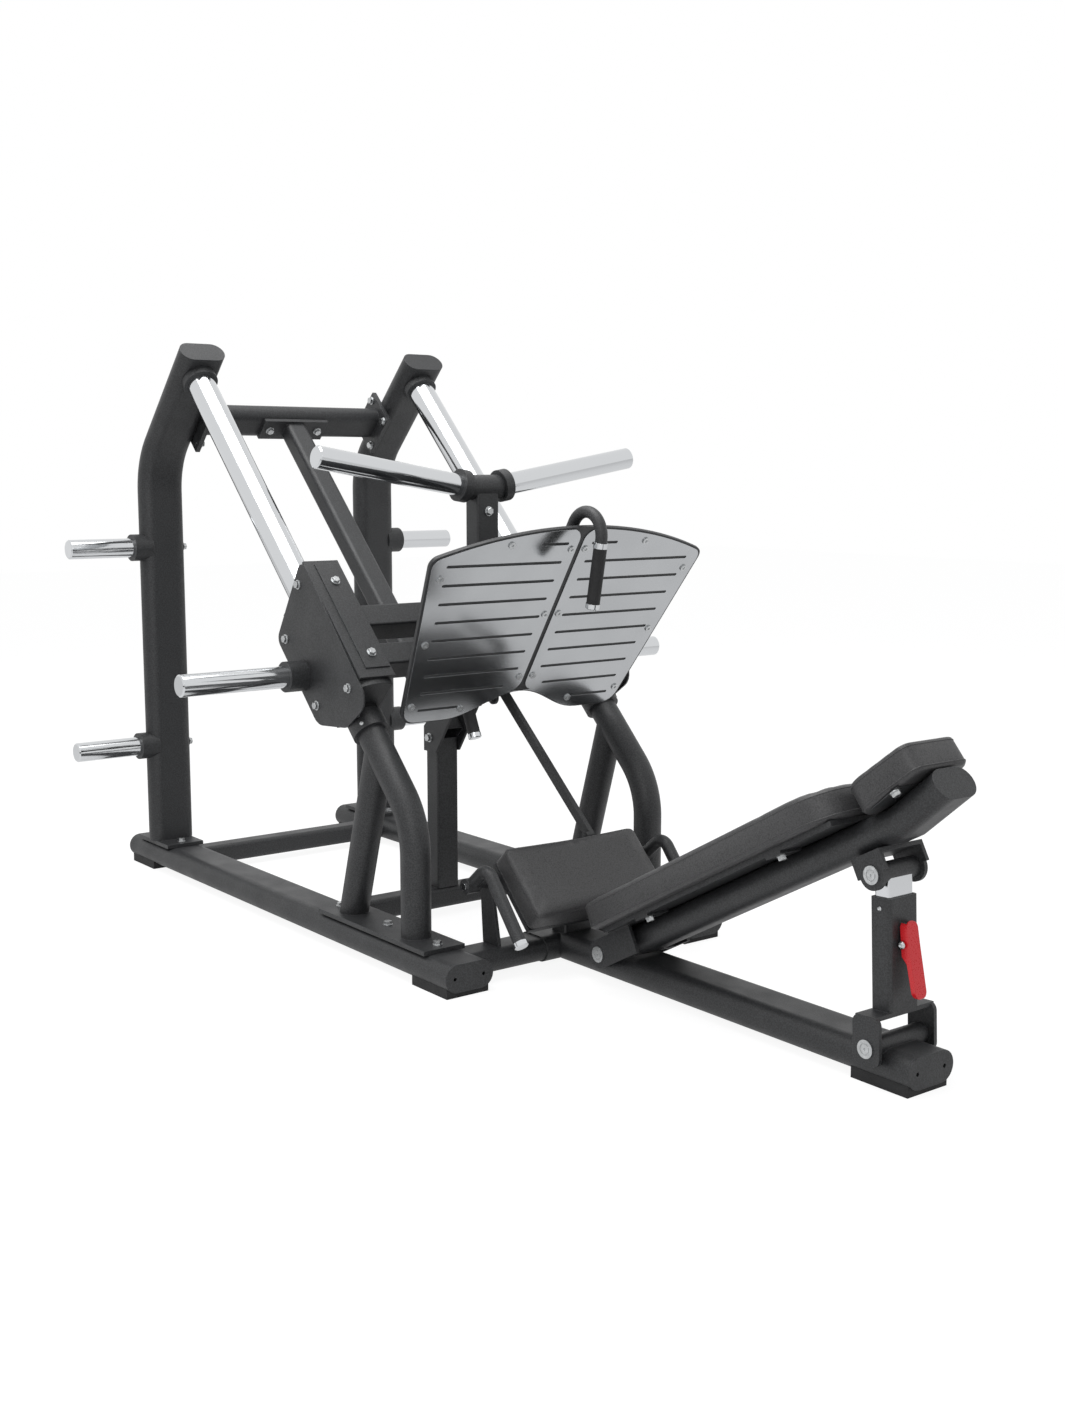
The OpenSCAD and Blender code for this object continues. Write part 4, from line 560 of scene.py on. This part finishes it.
def blow_up(pad, sizes):
    """Cloth pressure on a pad whose base is held by its board; no point moves further than the cap."""
    mesh = pad.data
    start = [v.co.copy() for v in mesh.vertices]
    base = pad.vertex_groups.new(name="board")
    base.add([i for i, p in enumerate(start) if p.z < GLUED_HEIGHT], 1.0, "REPLACE")
    cloth = pad.modifiers.new("Cloth", "CLOTH")
    cloth.settings.vertex_group_mass = base.name
    cloth.settings.use_pressure = True
    cloth.settings.uniform_pressure_force = sizes.pressure
    cloth.settings.effector_weights.gravity = 0
    cloth.settings.quality = 4
    cloth.settings.tension_stiffness = 25
    cloth.settings.compression_stiffness = 25
    cloth.settings.bending_stiffness = 6.0
    cloth.point_cache.frame_start = 1
    cloth.point_cache.frame_end = sizes.frames
    scene = bpy.context.scene
    for step in range(1, sizes.frames + 1):
        scene.frame_set(step)
    moved = bare_mesh(pad, pad.name)
    pad.modifiers.clear()
    pad.vertex_groups.clear()
    for v, first in zip(moved.vertices, start):
        move = v.co - first
        if move.length > sizes.cap:
            v.co = first + move * (sizes.cap / move.length)
    pad.data = moved
    scene.frame_set(1)


def seam_line(pad, height):
    """The pad's outline at a height above its base, as a loop of edges that lies on its cover."""
    bm = bmesh.new()
    bm.from_mesh(pad.data)
    cut = bmesh.ops.bisect_plane(
        bm, geom=bm.verts[:] + bm.edges[:] + bm.faces[:], plane_co=(0, 0, height), plane_no=(0, 0, 1),
    )["geom_cut"]
    edges = [e for e in cut if isinstance(e, bmesh.types.BMEdge)]
    points = {}
    for edge in edges:
        for v in edge.verts:
            points.setdefault(v, len(points))
    mesh = bpy.data.meshes.new(pad.name + "_line")
    mesh.from_pydata([v.co.copy() for v in points], [[points[v] for v in e.verts] for e in edges], [])
    bm.free()
    return mesh


# ---------------------------------------------------------------- sizes and colours

class FinishSizes(bpy.types.PropertyGroup):
    """Colours of the finishes."""
    coat: StringProperty(name="Powder coat", description="Base of the black powder coat", default="#1f2021")
    coat_light: StringProperty(
        name="Powder coat, light", description="Pale grains of the coat", default="#37383a",
    )
    # painted highlight: the paler colour that the coat's edges are drawn in, for the light they catch, not a
    # thinner coat
    coat_edge_highlight: StringProperty(
        name="Powder coat, edges", description="Where the coat is thin on edges", default="#484a4c",
    )
    chrome: StringProperty(name="Chrome", description="Chromed bar", default="#cfd1d3")
    stainless: StringProperty(name="Stainless", description="Foot plate sheet", default="#b6b8ba")
    stainless_dark: StringProperty(name="Stainless, cloud", description="Wiped patches", default="#b1b3b5")
    zinc: StringProperty(name="Zinc", description="Bolts and pins", default="#cfd1d2")
    zinc_dark: StringProperty(name="Zinc, cloudy", description="Dull patches of the zinc", default="#a3a5a6")
    rubber: StringProperty(name="Rubber", description="Grips, feet and bumpers", default="#1d1d1e")
    rubber_light: StringProperty(name="Rubber, bloom", description="Dusty bloom", default="#2b2b2c")
    vinyl: StringProperty(name="Vinyl", description="Cover of the pads", default="#303031")
    vinyl_light: StringProperty(name="Vinyl, light", description="Tops of the pebbles", default="#4c4c4d")
    red: StringProperty(name="Red", description="Strut lever", default="#d8161f")
    red_light: StringProperty(name="Red, light", description="Thin red", default="#e62d36")


class PadSizes(bpy.types.PropertyGroup):
    """How the pads are upholstered."""
    voxel: FloatProperty(
        name="Voxel", description="Cell size of the remesh", default=0.005, min=0.004, max=0.008,
        subtype="DISTANCE", unit="LENGTH",
    )
    inset: FloatProperty(
        name="Inset", description="How much smaller a pad starts on each side", default=0.003, min=0.0,
        max=0.01, subtype="DISTANCE", unit="LENGTH",
    )
    edge: FloatProperty(
        name="Edge", description="Radius of the foam's edges", default=0.009, min=0.004, max=0.02,
        subtype="DISTANCE", unit="LENGTH",
    )
    cap: FloatProperty(
        name="Cap", description="How far a point may swell", default=0.004, min=0.002, max=0.016,
        subtype="DISTANCE", unit="LENGTH",
    )
    pressure: FloatProperty(
        name="Pressure", description="Pressure of the foam", default=1.6, min=0.5, max=8.0,
    )
    frames: IntProperty(name="Frames", description="Length of the simulation", default=20, min=5, max=40)
    seam: FloatProperty(
        name="Top seam", description="Radius of the seam round the top panel", default=0.0009, min=0.0005,
        max=0.003, subtype="DISTANCE", unit="LENGTH",
    )
    seam_drop: FloatProperty(
        name="Seam drop", description="Depth of the top seam below the crown", default=0.012, min=0.005,
        max=0.03, subtype="DISTANCE", unit="LENGTH",
    )
    welt: FloatProperty(
        name="Welt", description="Radius of the welt cord by the board", default=0.0016, min=0.001, max=0.003,
        subtype="DISTANCE", unit="LENGTH",
    )
    welt_rise: FloatProperty(
        name="Welt rise", description="Height of the welt above the board", default=0.008, min=0.004,
        max=0.02, subtype="DISTANCE", unit="LENGTH",
    )


class BoltSizes(bpy.types.PropertyGroup):
    """Bolts and screws."""
    head: FloatProperty(
        name="Head", description="Across the corners of a bolt head", default=0.018, subtype="DISTANCE",
        unit="LENGTH",
    )
    washer: FloatProperty(
        name="Washer", description="Diameter of a washer", default=0.022, subtype="DISTANCE", unit="LENGTH",
    )
    pin_head: FloatProperty(
        name="Pin head", description="Diameter of the red lever's pin heads", default=0.014,
        subtype="DISTANCE", unit="LENGTH",
    )
    guide_screw: FloatProperty(
        name="Guide screw", description="Diameter of the screws of the post's guide", default=0.009,
        subtype="DISTANCE", unit="LENGTH",
    )
    guide_screw_up: FloatProperty(
        name="Guide screw height", description="Height of those screws above the strut's pivot",
        default=0.244, subtype="DISTANCE", unit="LENGTH",
    )
    guide_screw_out: FloatProperty(
        name="Guide screw side", description="How far out the strut's side wall stands", default=0.038,
        subtype="DISTANCE", unit="LENGTH",
    )


class StageSizes(bpy.types.PropertyGroup):
    """Camera and light."""
    camera: FloatVectorProperty(
        name="Camera", description="Where the camera stands", default=(2.9848, -2.2260, 1.0806),
        subtype="TRANSLATION", unit="LENGTH",
    )
    yaw: FloatProperty(
        name="Yaw", description="Turn of the camera from +X", default=math.radians(142.615), subtype="ANGLE",
        unit="ROTATION",
    )
    pitch: FloatProperty(
        name="Pitch", description="How far the camera looks down", default=math.radians(8.336),
        subtype="ANGLE", unit="ROTATION",
    )
    lens: FloatProperty(name="Lens", description="Focal length in millimetres", default=41.84)
    key: FloatProperty(
        name="Key light", description="Power of the large overhead light", default=95.0, unit="POWER",
    )
    side: FloatProperty(
        name="Side light", description="Power of the light beside the camera", default=26.0, unit="POWER",
    )
    room: FloatProperty(name="Room light", description="Strength of the light from all round", default=0.42)
    card: StringProperty(
        name="Cards", description="Colour of the cards that the chrome reflects", default="#151515",
    )


# ---------------------------------------------------------------- operators

class LEGPRESS_OT_finishes(bpy.types.Operator):
    """Makes the finishes and puts one on every CAD node"""
    bl_idname = "legpress.finishes"
    bl_label = "Finishes"

    def execute(self, context):
        c = context.scene.legpress_finish
        finishes.update({
            "powder_coat": powder_coat(
                "Polyester powder coat black", hex_colour(c.coat), hex_colour(c.coat_light),
                hex_colour(c.coat_edge_highlight),
            ),
            "chrome": chrome_plate("Hard chrome bar", hex_colour(c.chrome), 0.1),
            "stainless": stainless_sheet(
                "Stainless sheet polished", hex_colour(c.stainless), hex_colour(c.stainless_dark),
            ),
            "zinc": zinc_plate("Bright zinc plate", hex_colour(c.zinc), hex_colour(c.zinc_dark)),
            "rubber": moulded_rubber(
                "Moulded rubber black", hex_colour(c.rubber), hex_colour(c.rubber_light),
            ),
            "leather": vinyl_leather("PVC leather charcoal", hex_colour(c.vinyl), hex_colour(c.vinyl_light)),
            "red_coat": red_enamel("Gloss enamel red", hex_colour(c.red), hex_colour(c.red_light)),
        })
        for part in frame["record"]["subparts"]:
            mesh = nodes[part["node"]].data
            mesh.materials.clear()
            mesh.materials.append(finishes[part["material_slot"]])
        return {"FINISHED"}


class LEGPRESS_OT_pads(bpy.types.Operator):
    """Upholsters the seat pad, the back pad and the head pad"""
    bl_idname = "legpress.pads"
    bl_label = "Pads"

    def execute(self, context):
        sizes = context.scene.legpress_pads
        welt = welt_tree()
        for node, body in (("seat_pad", "frame"), ("back_pad", "back_rest"), ("head_pad", "back_rest")):
            pad, place = upholster(node, sizes)
            top = max(v.co.z for v in pad.data.vertices)
            lines = (("top_seam", top - sizes.seam_drop, sizes.seam), ("welt", sizes.welt_rise, sizes.welt))
            for name, height, radius in lines:
                cord = run_tree(
                    node + "_" + name, welt, seam_line(pad, height), finishes["leather"], Radius=radius,
                )
                cord.data.transform(place)
                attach(cord, body)
            pad.data.transform(place)
            pad.data.materials.append(finishes["leather"])
            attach(pad, body)
            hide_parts(node)
        return {"FINISHED"}


class LEGPRESS_OT_bolts(bpy.types.Operator):
    """Turns the CAD's hexagon bolts, and adds the lever's pin heads and the post guide's screws"""
    bl_idname = "legpress.bolts"
    bl_label = "Bolts"

    def execute(self, context):
        sizes = context.scene.legpress_bolts
        tree = hex_bolt_tree()
        for node, body in (("carriage_bolts", "carriage"), ("pad_bolts", "back_rest")):
            places = bolt_places(node, sizes.head / 2, sizes.washer / 2)
            bolts = run_tree(node + "_turned", tree, point_mesh(node, places), finishes["zinc"], **{
                "Washer Radius": sizes.washer / 2, "Head Radius": sizes.head / 2,
            })
            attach(bolts, body)
            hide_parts(node)
        joints = {joint["name"]: joint for joint in frame["record"]["behaviour"]["joints"]}
        low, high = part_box("red_lever")
        x, y, z = joints["red_lever_hinge"]["pos_m"]
        heads = [
            (Vector((x, low[1] - MM, z)), Vector((0, -1, 0))),
            (Vector((x, high[1] + MM, z)), Vector((0, 1, 0))),
        ]
        foot = Vector(joints["strut_hinge"]["pos_m"])
        along = Vector(joints["post_slide"]["axis"])
        sides = [
            (
                foot + along * sizes.guide_screw_up + Vector((0, side * sizes.guide_screw_out, 0)),
                Vector((0, side, 0)),
            )
            for side in (-1, 1)
        ]
        screws = button_screw_tree()
        for name, body, places, radius, height in (
            ("lever_pin_heads", "red_lever", heads, sizes.pin_head / 2, PIN_HEAD_RISE),
            ("post_guide_screws", "strut", sides, sizes.guide_screw / 2, GUIDE_SCREW_RISE),
        ):
            made = run_tree(name, screws, point_mesh(name, places), finishes["zinc"], **{
                "Radius": radius, "Height": height, "Socket": radius * SOCKET_SHARE,
            })
            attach(made, body)
        return {"FINISHED"}


class LEGPRESS_OT_stage(bpy.types.Operator):
    """Floor, backdrop, lights and camera"""
    bl_idname = "legpress.stage"
    bl_label = "Stage"

    def execute(self, context):
        s = context.scene.legpress_stage
        scene = context.scene
        lens = bpy.data.cameras.new("Camera")
        lens.lens = s.lens
        lens.sensor_width = 36
        lens.clip_end = 50
        camera = bpy.data.objects.new("Camera", lens)
        scene.collection.objects.link(camera)
        camera.location = s.camera
        forward = Vector(
            (math.cos(s.yaw) * math.cos(s.pitch), math.sin(s.yaw) * math.cos(s.pitch), -math.sin(s.pitch))
        )
        camera.rotation_euler = forward.to_track_quat("-Z", "Y").to_euler()
        scene.camera = camera
        scene.view_settings.view_transform = "Standard"

        bm = bmesh.new()
        bmesh.ops.create_grid(bm, x_segments=1, y_segments=1, size=FLOOR_HALF)
        mesh = bpy.data.meshes.new("Floor")
        bm.to_mesh(mesh)
        bm.free()
        floor = new_object("Floor", mesh)
        mesh.materials.append(self.paper())

        world = bpy.data.worlds.new("Studio")
        scene.world = world
        world.use_nodes = True
        tree = world.node_tree
        tree.nodes.clear()
        path = add_node(tree, "ShaderNodeLightPath").outputs
        seen = add_node(
            tree, "ShaderNodeMath", {0: path["Is Camera Ray"], 1: path["Is Glossy Ray"]}, operation="MAXIMUM",
        ).outputs[0]
        seen = add_node(
            tree, "ShaderNodeMath", {0: seen, 1: path["Is Transmission Ray"]}, operation="MAXIMUM",
        ).outputs[0]
        strength = add_node(
            tree, "ShaderNodeMix", {"Factor": seen, 2: s.room, 3: 1.0}, data_type="FLOAT",
        ).outputs[0]
        sky = add_node(tree, "ShaderNodeBackground", {"Color": (1, 1, 1, 1), "Strength": strength})
        output = add_node(tree, "ShaderNodeOutputWorld")
        tree.links.new(sky.outputs["Background"], output.inputs["Surface"])

        self.lamp("Overhead", place=(-0.2, -0.6, 3.6), aim=(0, 0, 0.4), size=3.2, power=s.key)
        self.lamp("Beside", place=(3.4, -3.2, 2.4), aim=(0, 0, 0.6), size=1.6, power=s.side)
        self.card("Card head end", place=(4.4, -0.8, 1.75), size=(4.6, 0.5), code=s.card)
        self.card("Card near side", place=(-0.4, -4.4, 0.5), size=(4.6, 0.5), code=s.card)
        return {"FINISHED"}

    def paper(self):
        """Seamless studio paper: matt white that glows, so that only a soft shadow stays on it."""
        material = bpy.data.materials.new("Studio paper")
        material.use_nodes = True
        tree = material.node_tree
        tree.nodes.clear()
        paint = add_node(tree, "ShaderNodeBsdfDiffuse", {"Color": hex_colour("#e9e9ea")})
        glow = add_node(tree, "ShaderNodeEmission", {"Color": (1, 1, 1, 1), "Strength": PAPER_GLOW})
        path = add_node(tree, "ShaderNodeLightPath").outputs
        mirrored = add_node(
            tree, "ShaderNodeMath", {0: path["Is Glossy Ray"], 1: GLOW_TO_CHROME}, operation="MULTIPLY",
        ).outputs[0]
        share = add_node(
            tree, "ShaderNodeMath", {0: path["Is Camera Ray"], 1: GLOW_TO_CAMERA, 2: mirrored},
            operation="MULTIPLY_ADD",
        ).outputs[0]
        mix = add_node(tree, "ShaderNodeMixShader", {0: share, 1: paint.outputs[0], 2: glow.outputs[0]})
        output = add_node(tree, "ShaderNodeOutputMaterial")
        tree.links.new(mix.outputs[0], output.inputs["Surface"])
        return material

    def card(self, name, place, size, code):
        """A dark card that only reflections see, for the dark lines along the chrome."""
        bm = bmesh.new()
        bmesh.ops.create_grid(bm, x_segments=1, y_segments=1, size=0.5)
        mesh = bpy.data.meshes.new(name)
        bm.to_mesh(mesh)
        bm.free()
        card = new_object(name, mesh)
        card.scale = (size[0], size[1], 1)
        card.location = place
        card.rotation_euler = (CARD_AIM - Vector(place)).to_track_quat("Z", "Y").to_euler()
        card.visible_camera = card.visible_diffuse = card.visible_shadow = False
        material, tree, shader, where = new_material(name)
        shader.inputs["Base Color"].default_value = hex_colour(code)
        shader.inputs["Roughness"].default_value = 1.0
        mesh.materials.append(material)

    def lamp(self, name, place, aim, size, power):
        """A round area lamp, aimed at a point."""
        data = bpy.data.lights.new(name, "AREA")
        data.shape = "DISK"
        data.size = size
        data.energy = power
        lamp = bpy.data.objects.new(name, data)
        bpy.context.scene.collection.objects.link(lamp)
        lamp.location = place
        lamp.rotation_euler = (Vector(aim) - Vector(place)).to_track_quat("-Z", "Y").to_euler()


class LEGPRESS_PT_panel(bpy.types.Panel):
    """The pieces and the sizes they are made from"""
    bl_idname = "LEGPRESS_PT_panel"
    bl_label = "Leg press"
    bl_space_type = "VIEW_3D"
    bl_region_type = "UI"
    bl_category = "Leg press"

    def draw(self, context):
        for group, operator in ROWS:
            box = self.layout.box()
            for key in getattr(context.scene, group).bl_rna.properties.keys():
                if key not in ("rna_type", "name"):
                    box.prop(getattr(context.scene, group), key)
            box.operator(operator)


ROWS = (
    ("legpress_finish", "legpress.finishes"),
    ("legpress_pads", "legpress.pads"),
    ("legpress_bolts", "legpress.bolts"),
    ("legpress_stage", "legpress.stage"),
)
GROUPS = {
    "legpress_finish": FinishSizes,
    "legpress_pads": PadSizes,
    "legpress_bolts": BoltSizes,
    "legpress_stage": StageSizes,
}
OPERATORS = (LEGPRESS_OT_finishes, LEGPRESS_OT_pads, LEGPRESS_OT_bolts, LEGPRESS_OT_stage, LEGPRESS_PT_panel)


def register():
    for name, group in GROUPS.items():
        bpy.utils.register_class(group)
        setattr(bpy.types.Scene, name, PointerProperty(type=group))
    for item in OPERATORS:
        bpy.utils.register_class(item)


def unregister():
    for item in reversed(OPERATORS):
        bpy.utils.unregister_class(item)
    for name, group in GROUPS.items():
        delattr(bpy.types.Scene, name)
        bpy.utils.unregister_class(group)


def main():
    register()
    bpy.ops.legpress.finishes()
    bpy.ops.legpress.stage()
    bpy.ops.legpress.pads()
    bpy.ops.legpress.bolts()


if __name__ == "__main__":
    main()
